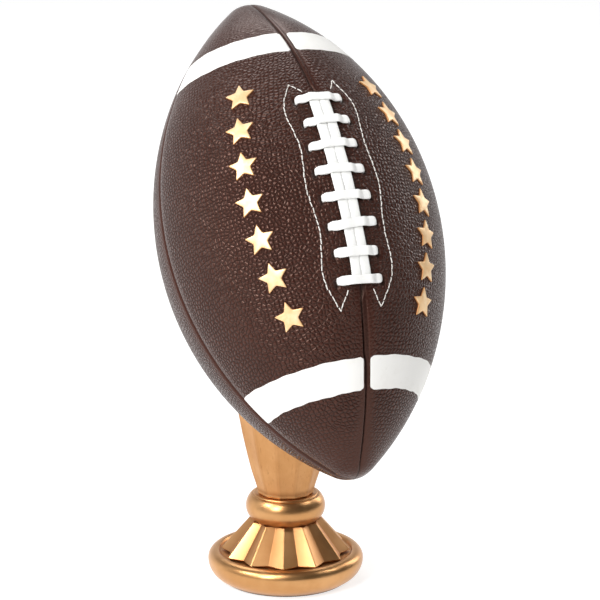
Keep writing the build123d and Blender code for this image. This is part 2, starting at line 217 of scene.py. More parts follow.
def sweep(shell, path, outs, section):
    """A closed tube of one section along a path. Outs point away from the ball, and the section's
    first number goes sideways and its second outwards. One section may be given per point."""
    path = np.asarray(path, float)
    along = unit(np.gradient(path, axis=0))
    outs = unit(outs - along * np.sum(outs * along, axis=1, keepdims=True))
    sides = np.cross(along, outs)
    section = np.asarray(section, float)
    if section.ndim == 2:
        section = np.repeat(section[None], len(path), axis=0)
    rings = path[:, None] + section[..., :1] * sides[:, None] + section[..., 1:] * outs[:, None]
    numbers = shell.add(rings)
    shell.skin(numbers, around=True)
    for ring, middle in ((numbers[0], path[0]), (numbers[-1], path[-1])):
        shell.fan(ring, shell.add(middle[None])[0])


def round_section(width, thickness, corner, count=20):
    """A flat section with well-rounded edges, as pairs sideways and outwards."""
    turns = np.linspace(0, 2 * math.pi, count, endpoint=False) + math.pi / count
    power = 2 / corner
    across = np.sign(np.cos(turns)) * np.abs(np.cos(turns)) ** power
    outward = np.sign(np.sin(turns)) * np.abs(np.sin(turns)) ** power
    return np.stack([across * width / 2, outward * thickness / 2], axis=1)


def sized(section, widths, thicks):
    """One section for each point of a path, from a section one unit wide and thick."""
    return np.stack([section[None, :, 0] * widths[:, None], section[None, :, 1] * thicks[:, None]], axis=-1)


# ---- the ball's surface ---------------------------------------------------------------------
class BallShape:
    """The ball's surface, worked out from its sizes: where a point on it is, and how far the
    leather rises or sinks there."""

    def __init__(self, sizes):
        self.length = sizes.length / MM
        self.radius = sizes.radius / MM
        self.nose = sizes.nose_radius / MM
        self.lean = sizes.lean
        self.pillow = sizes.pillow
        self.middle = BALL_MIDDLE
        self.right = np.array((1.0, 0.0, 0.0))
        self.back = np.array((0.0, math.cos(self.lean), -math.sin(self.lean)))
        self.up = np.array((0.0, math.sin(self.lean), math.cos(self.lean)))
        self.nose_up = self.length / 2 - self.nose
        self.side = (self.radius**2 + self.nose_up**2 - self.nose**2) / (2 * (self.radius - self.nose))
        self.offset = self.side - self.radius
        self.join = math.asin(self.nose_up / (self.side - self.nose))

    def profile(self, slope):
        """Radius and height where the surface faces this far up from level, in radians."""
        on_nose = np.abs(slope) > self.join
        reach = np.where(on_nose, self.nose, self.side)
        radius = reach * np.cos(slope) - np.where(on_nose, 0, self.offset)
        height = reach * np.sin(slope) + np.where(on_nose, np.sign(slope) * self.nose_up, 0)
        return radius, height

    def slope_at(self, height):
        """The profile's slope at a height along the axis."""
        height = np.clip(np.asarray(height, float), -self.length / 2, self.length / 2)
        low = self.side * math.sin(self.join)
        on_side = np.arcsin(np.clip(height / self.side, -1, 1))
        on_nose = np.sign(height) * np.arcsin(np.clip((np.abs(height) - self.nose_up) / self.nose, -1, 1))
        return np.where(np.abs(height) > low, on_nose, on_side)

    def radius_at(self, height):
        return self.profile(self.slope_at(height))[0]

    def swell(self, turn):
        """How full the ball is at this angle round it: fullest in the middle of a panel."""
        lobe = (np.mod(turn, math.pi / 2)) - math.pi / 4
        k = self.pillow
        return k * np.cos(lobe) + np.sqrt((1 - k) ** 2 - (k * np.sin(lobe)) ** 2)

    def point(self, slope, turn, lift=0.0):
        """Points on the surface: turn is in radians from the front seam, positive to the right."""
        radius, height = self.profile(slope)
        radius = radius * self.swell(turn) + lift * np.cos(slope)
        height = height + lift * np.sin(slope)
        return self.middle + self.facing(turn) * radius[..., None] + self.up * height[..., None]

    def facing(self, turn):
        """The level way out from the ball's axis at this angle round it."""
        return np.sin(turn)[..., None] * self.right - np.cos(turn)[..., None] * self.back

    def outward(self, slope, turn):
        """The way straight out from the surface."""
        return self.facing(turn) * np.cos(slope)[..., None] + self.up * np.sin(slope)[..., None]

    @staticmethod
    def from_seams(radius, turn):
        """Distance sideways from the front seam, and from the side and back seams."""
        turn = (np.asarray(turn, float) + math.pi) % (2 * math.pi) - math.pi
        return radius * turn, radius * np.abs(np.abs(turn) - math.pi / 2), radius * (math.pi - np.abs(turn))

    def over(self, lateral, height, lift=0.0):
        """A point by its distance sideways from the front seam and its height along the axis."""
        slope = self.slope_at(height)
        turn = np.asarray(lateral, float) / self.profile(slope)[0]
        return self.point(slope, turn, np.asarray(lift, float) + 0 * turn), self.outward(slope, turn)

    def slit_at(self, height):
        """How far the front seam's slit lies to the side of the middle."""
        above = ease(58, 64, height) * (1 - ease(116, 136, height))
        below = ease(58, 62, -np.asarray(height, float)) * (1 - ease(86, 94, -np.asarray(height, float)))
        return -1.25 * above - 1.3 * below

    def relief(self, slope, turn, holes):
        """How far the leather stands off the ball's form, and how much shade is painted on it, at each point."""
        radius, height = self.profile(slope)
        lateral, from_side, from_back = self.from_seams(radius, turn)
        from_front = np.abs(lateral - self.slit_at(height))
        tips = 1 - ease(133, 140, np.abs(height))
        lift = sum(-0.95 * dent(seam, 1.0) - 0.3 * dent(seam, 3.4) for seam in (from_side, from_back))
        # Painted shade along the side and back seams.
        shade = sum(0.9 * dent(seam, 0.55) for seam in (from_side, from_back))
        # The front seam: one fine slit below the lower stripe, a trough between it and the laces,
        # and above the laces a slit and a second crease with a smooth band between.
        low_slit = ease(96, 104, -height)
        above = ease(54, 60, height)
        trough = ease(50, 56, -height) * (1 - ease(98, 104, -height))
        lift += -0.85 * dent(from_front, 0.62 + 0.2 * above)
        crease = above * (1 - ease(112, 130, height))
        lift += -0.35 * crease * dent(lateral - CREASE_ASIDE, 0.5)
        lift += -0.5 * trough * (1 - ease(1.2, 2.3, np.abs(lateral)))
        lift += -0.28 * dent(lateral, 4.2) * (above + trough + low_slit)
        # Painted shade in the front seam's slit, its crease and its trough.
        shade += 0.95 * dent(from_front, 0.42 + 0.12 * above)
        shade += 0.5 * crease * dent(lateral - CREASE_ASIDE, 0.36)
        shade += 0.45 * trough * (1 - ease(1.1, 2.0, np.abs(lateral)))
        # Shade is painted on the strip under the lacing, and the leather sinks into each lace hole, which gets
        # painted shade too.
        under = (1 - ease(5, 9, np.abs(lateral))) * (1 - ease(52, 58, np.abs(height)))
        shade += 0.55 * under
        for side, hole_height, hole_lateral in holes:
            off = np.hypot(lateral - side * hole_lateral, (height - hole_height) / 1.75)
            lift += -1.45 * dent(off, 1.35) + 0.22 * dent(off - 3.1, 1.1)
            shade += 0.95 * (1 - ease(0.9, 2.3, off))
        return lift * tips, np.clip(shade, 0, 1)

    def grain(self, slope, turn, holes):
        """How strong the pebble grain is at each point: it fades by seams, holes and tips."""
        radius, height = self.profile(slope)
        lateral, from_side, from_back = self.from_seams(radius, turn)
        seams = np.minimum.reduce([np.abs(lateral), from_side, from_back])
        strong = 0.18 + 0.82 * ease(1.2, 7.5, seams)
        strong *= 1 - 0.72 * ease(84, 128, height) - 0.55 * ease(108, 136, -height)
        strong *= 1 - 0.35 * ease(52, 84, height)
        for side, hole_height, hole_lateral in holes:
            off = np.hypot(lateral - side * hole_lateral, height - hole_height)
            strong *= 0.35 + 0.65 * ease(1.5, 5.0, off)
        return np.clip(strong, 0, 1)


# ---- shader helpers -------------------------------------------------------------------------
class Amount:
    """A single value in a material. Sums on it add Math nodes."""

    def __init__(self, finish, socket):
        self.finish, self.socket = finish, socket

    def _sum(self, operation, *values, clamp=False):
        setup = {"operation": operation, "use_clamp": clamp}
        node = self.finish.add("ShaderNodeMath", setup, dict(enumerate(values)))
        return Amount(self.finish, node.outputs[0])

    def __add__(self, other):
        return self._sum("ADD", self, other)

    __radd__ = __add__

    def __sub__(self, other):
        return self._sum("SUBTRACT", self, other)

    def __rsub__(self, other):
        return self._sum("SUBTRACT", other, self)

    def __mul__(self, other):
        return self._sum("MULTIPLY", self, other)

    __rmul__ = __mul__

    def __pow__(self, other):
        return self._sum("POWER", self, other)

    def held(self):
        """Kept between 0 and 1."""
        return self._sum("ADD", self, 0.0, clamp=True)

    def between(self, low, high):
        """0 at low, 1 at high, smooth between."""
        node = self.finish.add(
            "ShaderNodeMapRange",
            {"interpolation_type": "SMOOTHSTEP"},
            {"Value": self, "From Min": low, "From Max": high},
        )
        return Amount(self.finish, node.outputs[0])


class Nodes:
    """A node tree, and short ways to add to it."""

    def __init__(self, owner):
        owner.use_nodes = True
        self.tree = owner.node_tree
        self.tree.nodes.clear()

    def add(self, kind, settings=None, values=None):
        """Adds a node, sets it up first, then gives its sockets their values or links."""
        node = self.tree.nodes.new(kind)
        for name, setting in (settings or {}).items():
            setattr(node, name, setting)
        for name, value in (values or {}).items():
            self.put(node, name, value)
        return node

    def put(self, node, name, value):
        """Gives a socket, by its number or its name, a value or a link."""
        socket = node.inputs[name.replace("_", " ") if isinstance(name, str) else name]
        if isinstance(value, Amount):
            self.tree.links.new(value.socket, socket)
        elif isinstance(value, bpy.types.NodeSocket):
            self.tree.links.new(value, socket)
        elif hasattr(value, "__len__") and socket.type == "RGBA":
            socket.default_value = (*value[:3], 1.0)
        else:
            socket.default_value = value

    def place(self):
        """Where a point is, in metres, in the object's own frame."""
        return self.add("ShaderNodeTexCoord").outputs["Object"]

    def mark(self, name):
        """A value kept on the mesh."""
        return Amount(self, self.add("ShaderNodeAttribute", {"attribute_name": name}).outputs["Fac"])

    def mark_vector(self, name):
        return self.add("ShaderNodeAttribute", {"attribute_name": name}).outputs["Vector"]

    def scaled(self, vector, scale):
        node = self.add("ShaderNodeVectorMath", {"operation": "MULTIPLY"}, {0: vector, 1: scale})
        return node.outputs[0]

    def noise(self, vector, size, detail=2.0, rough=0.5, stretch=(1, 1, 1), distortion=0.0):
        """Soft random variation about so large, in metres, between 0 and 1."""
        node = self.add(
            "ShaderNodeTexNoise",
            {"noise_dimensions": "3D"},
            {
                "Vector": self.scaled(vector, tuple(s / size for s in stretch)),
                "Scale": 1.0,
                "Detail": detail,
                "Roughness": rough,
                "Distortion": distortion,
            },
        )
        return Amount(self, node.outputs["Fac"])

    def mix(self, first, second, share):
        """One colour turning into another."""
        node = self.add(
            "ShaderNodeMix",
            {"data_type": "RGBA", "clamp_factor": True},
            {0: share, 6: first, 7: second},
        )
        return node.outputs[2]

    def bump(self, height, distance, strength=1.0, under=None):
        values = {"Height": height, "Distance": distance, "Strength": strength}
        if under is not None:
            values["Normal"] = under
        return self.add("ShaderNodeBump", {}, values).outputs[0]


class Finish(Nodes):
    """One material, built node by node around a Principled surface."""

    def __init__(self, name, **constants):
        self.material = bpy.data.materials.new(name)
        super().__init__(self.material)
        self.surface = self.add("ShaderNodeBsdfPrincipled", {}, constants)
        self.add("ShaderNodeOutputMaterial", {}, {"Surface": self.surface.outputs[0]})

    def set(self, **sockets):
        for name, value in sockets.items():
            self.put(self.surface, name, value)
        return self.material


def leather_finish(colours):
    """Brown pebbled leather: rounded grains a couple of millimetres across, in uneven rows."""
    finish = Finish("pebbled_leather", Specular_IOR_Level=0.36, Specular_Tint=(1.0, 0.64, 0.52, 1.0))
    place, laid = finish.place(), finish.mark_vector("laid")
    wobble = finish.add(
        "ShaderNodeTexNoise", {"noise_dimensions": "2D"}, {"Vector": laid, "Scale": 0.45, "Detail": 1.0}
    ).outputs["Color"]
    moved = finish.add(
        "ShaderNodeVectorMath", {"operation": "MULTIPLY_ADD"}, {0: wobble, 1: (0.45, 0.45, 0.0), 2: laid}
    ).outputs[0]
    cells = finish.add(
        "ShaderNodeTexVoronoi",
        {"voronoi_dimensions": "2D", "feature": "DISTANCE_TO_EDGE"},
        {"Vector": moved, "Scale": 0.94, "Randomness": 0.78},
    )
    groove = (1 - Amount(finish, cells.outputs["Distance"]) * 2.0).held()
    grain = finish.mark("grain")
    shade = finish.mark("shade")
    dome = 1 - groove**2.0
    fine = finish.noise(place, 0.00045, 3.0, 0.6)
    wide = finish.noise(place, 0.03, 3.0, 0.5)
    blotch = finish.noise(place, 0.007, 3.0, 0.6)
    normal = finish.bump(dome * grain, 0.00043, 1.0)
    normal = finish.bump(fine, 0.00003, 0.6, normal)
    low = finish.mix(colours.leather_deep, colours.leather, wide.between(0.3, 0.7))
    # Random lighter blotches, and a painted highlight on the tops of the grains.
    blotch_and_top_sheen = blotch.between(0.45, 0.8) * 0.35 + dome.between(0.45, 0.95) * grain * 0.3
    # Painted shade: the seams, lace holes, the strip under the lacing and the grooves between the grains are
    # darkened.
    painted_leather_shade = (shade * 0.92 + groove.between(0.45, 0.95) * grain * 0.65).held()
    tone = finish.mix(finish.mix(low, colours.leather_blotch_sheen, blotch_and_top_sheen), colours.leather_shade_colour, painted_leather_shade)
    rough = 0.19 + blotch * 0.08 + groove.between(0.5, 1.0) * grain * 0.35 + shade * 0.25
    return finish.set(Base_Color=tone, Roughness=rough, Normal=normal)


def paint_finish(colours):
    """Matte off-white paint over leather."""
    finish = Finish("stripe_paint", Specular_IOR_Level=0.35)
    place = finish.place()
    grain = finish.noise(place, 0.0011, 2.0, 0.5)
    wide = finish.noise(place, 0.012, 3.0, 0.6)
    speck = finish.noise(place, 0.0035, 2.0, 0.7)
    dirt = wide.between(0.45, 0.85) * 0.35 + speck.between(0.66, 0.74) * 0.21
    tone = finish.mix(colours.paint, colours.paint_shadow, dirt)
    normal = finish.bump(grain, 0.00012, 0.55)
    return finish.set(Base_Color=tone, Roughness=0.52 + wide * 0.16, Normal=normal)


def lace_finish(colours):
    """Matte white lace: moulded, with a faint fine weave and a little grime in random patches."""
    finish = Finish("white_lace", Specular_IOR_Level=0.35)
    place = finish.place()
    weave = finish.add(
        "ShaderNodeTexWave",
        {"wave_type": "BANDS", "bands_direction": "DIAGONAL"},
        {"Vector": place, "Scale": 900.0, "Distortion": 3.0, "Detail": 2.0},
    )
    wide = finish.noise(place, 0.006, 3.0, 0.6)
    tone = finish.mix(colours.lace, colours.lace_shadow, wide.between(0.5, 0.85) * 0.5)
    height = Amount(finish, weave.outputs["Fac"]) * 0.6 + finish.noise(place, 0.0008) * 0.8
    normal = finish.bump(height, 0.00005, 0.6)
    return finish.set(Base_Color=tone, Roughness=0.55 + wide * 0.15, Normal=normal)


def thread_finish(colours):
    """White sewing thread, twisted, a little grey in random patches."""
    finish = Finish("white_thread", Specular_IOR_Level=0.3, Sheen_Weight=0.15)
    place = finish.place()
    twist = finish.add(
        "ShaderNodeTexWave",
        {"wave_type": "BANDS", "bands_direction": "DIAGONAL"},
        {"Vector": place, "Scale": 1500.0, "Distortion": 1.5},
    )
    wide = finish.noise(place, 0.004, 2.0, 0.6)
    tone = finish.mix(colours.thread, colours.thread_grime, wide.between(0.45, 0.8) * 0.7)
    normal = finish.bump(Amount(finish, twist.outputs["Fac"]), 0.00008, 0.6)
    return finish.set(Base_Color=tone, Roughness=0.7 + wide * 0.1, Normal=normal)


def foil_finish(colours):
    """The raised stars: bright gold, more orange where the edge turns down."""
    finish = Finish("star_gold", Specular_IOR_Level=0.5)
    place = finish.place()
    wide = finish.noise(place, 0.006, 3.0, 0.6)
    fine = finish.noise(place, 0.0006, 2.0, 0.5)
    rim = finish.mark("rim")
    tone = finish.mix(colours.star_gold, colours.star_pale, wide.between(0.35, 0.75))
    tone = finish.mix(tone, colours.star_edge, rim)
    normal = finish.bump(fine, 0.00004, 0.5)
    rough = 0.30 + wide * 0.16 + rim * 0.1
    return finish.set(Base_Color=tone, Metallic=0.25 + wide * 0.2, Roughness=rough, Normal=normal)


def stand_finish(colours, name, streaks=0.0, rough=0.3):
    """Satin gold paint: soft orange peel, painted shade in the hollows, brush streaks if asked for."""
    finish = Finish(name, Specular_IOR_Level=0.5)
    place = finish.place()
    wide = finish.noise(place, 0.016, 3.0, 0.55)
    peel = finish.noise(place, 0.0016, 2.0, 0.5)
    tone = finish.mix(colours.gold, colours.gold_light, wide.between(0.35, 0.75))
    # Painted shade: the stand's corners, valleys, ridges and undersides are darkened.
    dip = finish.mark("dip")
    tone = finish.mix(tone, colours.gold_streak_and_shade, dip.held())
    roughness = rough + wide * 0.14 + dip * 0.2
    height = peel
    if streaks:
        lines = finish.noise(place, 0.0012, 3.0, 0.7, stretch=(1, 1, 0.045))
        mark = lines.between(0.56, 0.72) * finish.noise(place, 0.02).between(0.35, 0.7)
        tone = finish.mix(tone, colours.gold_streak_and_shade, mark * streaks)
        roughness = roughness + lines * 0.18
        height = peel + lines * 0.8
    normal = finish.bump(height, 0.00005, 0.6)
    return finish.set(Base_Color=tone, Metallic=0.96, Roughness=roughness, Normal=normal)


def plain_finish(name, colour, second, size, rough, metallic=0.0, lift=0.00005, stretch=(1, 1, 1)):
    """A finish of two close colours with a fine grain, for what is inside the award."""
    finish = Finish(name, Metallic=metallic)
    place = finish.place()
    grain = finish.noise(place, size, 4.0, 0.6, stretch=stretch)
    wide = finish.noise(place, size * 12, 2.0, 0.5)
    tone = finish.mix(colour, second, grain.between(0.35, 0.7) * 0.6 + wide * 0.4)
    return finish.set(Base_Color=tone, Roughness=rough + grain * 0.15, Normal=finish.bump(grain, lift, 0.7))


def felt_finish():
    """Black felt with a short nap."""
    finish = Finish("black_felt", Specular_IOR_Level=0.15, Sheen_Weight=0.35, Sheen_Roughness=0.5)
    place = finish.place()
    nap = finish.noise(place, 0.0005, 5.0, 0.75, distortion=0.6)
    clump = finish.noise(place, 0.004, 3.0, 0.6)
    tone = finish.mix((0.008, 0.008, 0.009), (0.035, 0.034, 0.036), nap.between(0.35, 0.7))
    normal = finish.bump(nap + clump * 0.5, 0.0003, 0.8)
    return finish.set(Base_Color=tone, Roughness=0.9 + clump * 0.08, Normal=normal)


# ---- what a user would change ---------------------------------------------------------------
def length_property(name, description, millimetres):
    return bpy.props.FloatProperty(
        name=name, description=description, default=millimetres * MM, min=0.0, unit="LENGTH", subtype="DISTANCE"
    )


def angle_property(name, description, degrees):
    return bpy.props.FloatProperty(
        name=name, description=description, default=math.radians(degrees), subtype="ANGLE", unit="ROTATION"
    )


def count_property(name, description, count, least):
    return bpy.props.IntProperty(name=name, description=description, default=count, min=least)


def share_property(name, description, share):
    return bpy.props.FloatProperty(name=name, description=description, default=share, min=0.0)


def colour_property(name, description, colour):
    return bpy.props.FloatVectorProperty(
        name=name, description=description, default=colour, size=3, min=0.0, max=1.0, subtype="COLOR"
    )


class BallSizes(bpy.types.PropertyGroup):
    """The ball's own sizes."""

    length: length_property("Length", "The ball's length, tip to tip", 280.0)
    radius: length_property("Radius", "The ball's largest radius", 78.7)
    nose_radius: length_property("Nose Radius", "Rounding of each pointed end", 19.0)
    lean: angle_property("Lean", "How far the ball's long axis leans back from the vertical", 34.3)
    pillow: share_property("Panel Fullness", "How much each panel swells between its seams", 0.036)
    leather_thickness: length_property("Leather Thickness", "Panel leather with its lining", 2.15)
    stripe_near: length_property("Stripe Start", "From the ball's middle to a stripe's near edge", 89.0)
    stripe_far: length_property("Stripe End", "From the ball's middle to a stripe's far edge", 104.3)


class LaceSizes(bpy.types.PropertyGroup):
    """The lacing, its stitches and the stars."""

    pitch: length_property("Crossing Pitch", "From one crossing to the next", 15.3)
    count: count_property("Crossings", "How many short laces cross the seam", 8, 1)
    width: length_property("Lace Width", "Width of each long lace run", 5.7)
    thickness: length_property("Lace Thickness", "Thickness of a lace", 1.7)
    crossing_half: length_property("Crossing Reach", "From the seam to a crossing's end", 13.2)
    crossing_width: length_property("Crossing Width", "Width of a crossing", 5.0)
    stitch_pitch: length_property("Stitch Pitch", "From one stitch to the next", 3.4)
    thread_radius: length_property("Thread Radius", "Radius of the sewing thread", 0.31)
    star_radius: length_property("Star Radius", "From a star's middle to its points", 8.8)
    star_waist: length_property("Star Waist", "From a star's middle to its inner corners", 4.2)
    stars_left: count_property("Stars Left", "Stars on the left panel", 7, 2)
    stars_right: count_property("Stars Right", "Stars on the right panel", 8, 2)


class StandSizes(bpy.types.PropertyGroup):
    """The stand's sizes."""

    pleats: count_property("Pleats", "Pleats round the skirt", 12, 3)
    pleat_turn: angle_property("Pleat Turn", "From the front to the nearest ridge of the skirt", 5.5)
    facets: count_property("Stem Facets", "Flat sides round the stem", 12, 3)
    foot_radius: length_property("Foot Radius", "The foot's largest radius", 44.3)
    bead_tube: length_property("Bead Tube", "Rounding of the bead", 9.5)


class Colours(bpy.types.PropertyGroup):
    """Colours of the finishes."""

    leather: colour_property("Leather", "The leather's own brown", (0.045, 0.0155, 0.0108))
    leather_deep: colour_property("Leather Deep", "The leather's deeper patches", (0.036, 0.0120, 0.0083))
    # Lighter tone for random blotches, and a painted highlight on the grain tops.
    leather_blotch_sheen: colour_property("Leather Blotch And Sheen", "The tops of the grain", (0.058, 0.0225, 0.0165))
    # Painted shade between the grains, in the seams and lace holes, and under the lacing.
    leather_shade_colour: colour_property("Leather Shade", "Between the grains and in the seams", (0.008, 0.0026, 0.0020))
    paint: colour_property("Stripe Paint", "The stripes' white", (0.86, 0.85, 0.82))
    paint_shadow: colour_property("Stripe Paint Worn", "Where the stripes are thin or soiled", (0.70, 0.67, 0.63))
    lace: colour_property("Lace", "The laces' white", (0.88, 0.88, 0.86))
    lace_shadow: colour_property("Lace Soiled", "Where the laces are soiled", (0.76, 0.74, 0.70))
    thread: colour_property("Thread", "The stitches' white", (0.82, 0.80, 0.76))
    thread_grime: colour_property("Thread Soiled", "Where the thread is soiled", (0.48, 0.42, 0.36))
    star_gold: colour_property("Star Gold", "The stars' gold", (0.88, 0.56, 0.27))
    star_pale: colour_property("Star Pale Gold", "The stars' lighter patches", (0.97, 0.74, 0.46))
    star_edge: colour_property("Star Edge", "The stars' turned-down edges", (0.52, 0.22, 0.07))
    gold: colour_property("Stand Gold", "The stand's gold", (0.55, 0.28, 0.108))
    gold_light: colour_property("Stand Gold Light", "The stand's lighter patches", (0.64, 0.35, 0.15))
    # Real brush streaks, and painted shade in the hollows.
    gold_streak_and_shade: colour_property("Stand Gold Deep", "The stand's dips and streaks", (0.30, 0.12, 0.04))


class StageSettings(bpy.types.PropertyGroup):
    """The camera, the lights and the floor."""

    azimuth: angle_property("Azimuth", "How far round the object the camera stands", -22.478)
    elevation: angle_property("Elevation", "How far above level the camera stands", 14.786)
    distance: length_property("Distance", "From the camera to its target", 1727.2)
    lens: bpy.props.FloatProperty(
        name="Lens", description="The camera's focal length", default=184.93, subtype="DISTANCE_CAMERA"
    )
    target: bpy.props.FloatVectorProperty(
        name="Target",
        description="The point that the camera looks at",
        default=(0.00763, -0.00316, 0.16345),
        size=3,
        subtype="XYZ",
        unit="LENGTH",
    )
    key_power: bpy.props.FloatProperty(
        name="Key Light",
        description="Power of the large light",
        default=24.0,
        min=0.0,
        subtype="POWER",
        unit="POWER",
    )
    surround: share_property("Surround", "Brightness of the white surroundings", 1.0)
    floor_glow: share_property("Floor Glow", "How much the white floor is lit from below", 0.74)
    floor: colour_property("Floor", "The floor's colour", (0.45, 0.45, 0.45))


def settings():
    """The scene's own copy of every setting."""
    scene = bpy.context.scene
    return scene.award_ball, scene.award_lacing, scene.award_stand, scene.award_colours, scene.award_stage


def material(name, build):
    """The named material, built the first time it is asked for."""
    return bpy.data.materials.get(name) or build()


def crossing_heights(lacing):
    """Heights of the crossings along the ball's axis, from the top one down."""
    last = (lacing.count - 1) / 2
    return [(last - i) * lacing.pitch / MM for i in range(lacing.count)]


# How each crossing lies by hand, from the top one down: how far it sits above its even place,
# how much shorter it is than the longest, and how far it is off the seam, in millimetres.
CROSSING_HABITS = (
    (-1.1, 0.6, 0.0),
    (-0.6, 0.8, 0.0),
    (0.0, 0.2, -0.9),
    (0.4, 0.0, -1.0),
    (0.5, 0.1, -0.8),
    (0.6, 0.2, -0.5),
    (1.0, 1.7, -1.0),
    (2.0, 1.2, -1.0),
)


def lace_drift(height):
    """How far to the side the long runs have pulled, at a height along the ball's axis."""
    return np.interp(height, (-56, -46, -23, 0, 23, 46, 56), (-0.3, -0.4, -1.2, -1.5, -1.6, -0.9, -0.5))


class CrossingLay:
    """How each crossing lies: a little tilted, long or short, each in its own way."""

    def __init__(self, lacing):
        rng = np.random.default_rng(11)
        self.items = []
        for i, height in enumerate(crossing_heights(lacing)):
            raised, shorter, aside = CROSSING_HABITS[i % len(CROSSING_HABITS)]
            reach = lacing.crossing_half / MM + 0.2 - shorter
            self.items.append((height + raised, rng.uniform(-0.03, 0.03), reach, aside))

    def holes(self):
        """Each lace hole: its side, its height and its distance from the seam."""
        found = []
        for height, tilt, reach, aside in self.items:
            for side in (-1, 1):
                found.append((side, height + side * reach * math.tan(tilt) - 0.9, reach + 0.9 + side * aside))
        return found


# ---- the operators --------------------------------------------------------------------------
class AWARD_OT_panels(bpy.types.Operator):
    """Build the ball's four sewn leather panels"""

    bl_idname = "award.panels"
    bl_label = "Leather Panels"
    bl_options = {"REGISTER", "UNDO"}

    def execute(self, context):
        sizes, lacing, _, colours, _ = settings()
        ball = BallShape(sizes)
        leather = material("pebbled_leather", lambda: leather_finish(colours))
        holes = CrossingLay(lacing).holes()
        inner_lift = -sizes.leather_thickness / MM
        for name, side, front in (
            ("panel_front_left", -1, True),
            ("panel_front_right", 1, True),
            ("panel_back_left", -1, False),
            ("panel_back_right", 1, False),
        ):
            slopes = self.rows(ball, front)
            near = self.columns(front)
            radius, height = ball.profile(slopes)
            start = ball.slit_at(height) / np.maximum(radius, 0.5) if front else 0 * height
            gap = SEAM_GAP / np.maximum(radius, 0.5)
            if front:
                first = side * gap + start
                last = side * (math.pi / 2 - gap)
            else:
                first = side * (math.pi - gap)
                last = side * (math.pi / 2 + gap)
            turns = first[:, None] + (last - first)[:, None] * near[None]
            slope_grid = np.repeat(slopes[:, None], len(near), axis=1)
            used = holes if front else []
            lift, shade = ball.relief(slope_grid, turns, used)
            grain = ball.grain(slope_grid, turns, used)
            outside = ball.point(slope_grid, turns, lift)
            hollow = (1 - ball.swell(turns)) * ball.profile(slope_grid)[0] * 0.9
            under = np.minimum(inner_lift + hollow, lift - 0.35)
            inside = ball.point(slope_grid, turns, under)
            walked = np.concatenate([[0], np.cumsum(np.hypot(np.diff(radius), np.diff(height)))])
            middle = side * (math.pi / 4 if front else 3 * math.pi / 4)
            laid = np.stack(
                [
                    radius[:, None] * (turns - middle) / PEBBLE_ACROSS,
                    np.repeat(((walked - walked[-1] / 2) / PEBBLE_ALONG)[:, None], len(near), axis=1),
                    np.zeros_like(turns),
                ],
                axis=-1,
            )
            shell = Shell()
            outer = shell.add(outside, laid=laid, grain=grain, shade=shade)
            # The panels' inner faces get painted shade.
            inner = shell.add(inside, laid=laid, grain=0 * grain, shade=0.6 + 0 * shade)
            shell.slab(outer, inner)
            piece = shell.make(name + "_leather", leather, weld=0.02)
            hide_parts(name)
        return {"FINISHED"}

    @staticmethod
    def rows(ball, front):
        """Slopes of the rows, closer together by the lacing."""
        fine = np.arange(0, 66, 1.0 if front else 1.5)
        coarse = np.arange(66, 118, 1.6)
        half = np.concatenate([fine, coarse])
        upper = ball.slope_at(half)
        nose = np.linspace(upper[-1], TIP_SLOPE, 22)[1:]
        upper = np.concatenate([upper, nose])
        return np.concatenate([-upper[:0:-1], upper])

    @staticmethod
    def columns(front):
        """Shares of the way across a panel, closer together by the seams and the lacing."""
        across = 122.5
        if front:
            steps = [np.arange(0, 5, 0.32), np.arange(5, 17, 0.62), np.arange(17, 28, 0.9)]
            steps += [np.arange(28, 112, 1.7), np.arange(112, 118.5, 0.9), np.arange(118.5, across, 0.36)]
        else:
            steps = [np.arange(0, 4, 0.36), np.arange(4, 10, 0.9), np.arange(10, 112, 1.9)]
            steps += [np.arange(112, 118.5, 0.9), np.arange(118.5, across, 0.36)]
        return np.append(np.concatenate(steps), across) / across


class AWARD_OT_stripes(bpy.types.Operator):
    """Paint the four white stripes"""

    bl_idname = "award.stripes"
    bl_label = "White Stripes"
    bl_options = {"REGISTER", "UNDO"}

    def execute(self, context):
        sizes, lacing, _, colours, _ = settings()
        ball = BallShape(sizes)
        paint = material("stripe_paint", lambda: paint_finish(colours))
        holes = CrossingLay(lacing).holes()
        near, far = sizes.stripe_near / MM, sizes.stripe_far / MM
        rng = np.random.default_rng(5)
        for end_name, end in (("upper", 1), ("lower", -1)):
            for side_name, side in (("left", -1), ("right", 1)):
                spans = (np.linspace(0, 4, 14), np.linspace(4, 96, 72)[1:], np.linspace(96, 100, 12)[1:])
                share = np.concatenate(spans) / 100
                down = np.linspace(0, 1, 17)
                waves = rng.uniform(0, 2 * math.pi, (2, 3))
                edges = []
                for k, base in enumerate((near, far)):
                    waviness = enumerate((9.0, 20.7, 45.9))
                    edges.append(base + sum(0.12 * np.sin(share * n + waves[k, i]) for i, n in waviness))
                height = end * (edges[0][None] + (edges[1] - edges[0])[None] * down[:, None])
                slope = ball.slope_at(height)
                radius = ball.profile(slope)[0]
                from_edge = np.minimum(down, 1 - down)[:, None] * (far - near) + 0 * height
                inward = np.maximum(PAINT_CORNER - from_edge, 0)
                corner = PAINT_CORNER - np.sqrt(PAINT_CORNER**2 - inward**2)
                bare = (1.5 if end > 0 else 1.8) + (0.25 if side > 0 else 0.0)
                first = side * (bare + corner) / radius
                last = side * (math.pi / 2 - 0.18 / radius)
                turn = first + (last - first) * share[None]
                relief = ball.relief(slope, turn, holes)[0]
                edge_drop = 0.10 * (1 - ease(0.0, 0.5, from_edge))
                top = ball.point(slope, turn, relief + PAINT_OVER - edge_drop)
                low = ball.point(slope, turn, relief - PAINT_UNDER)
                shell = Shell()
                shell.slab(shell.add(top), shell.add(low))
                name = f"stripe_{end_name}_{side_name}"
                piece = shell.make(name + "_paint", paint, smooth_angle=60)
                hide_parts(name)
        return {"FINISHED"}


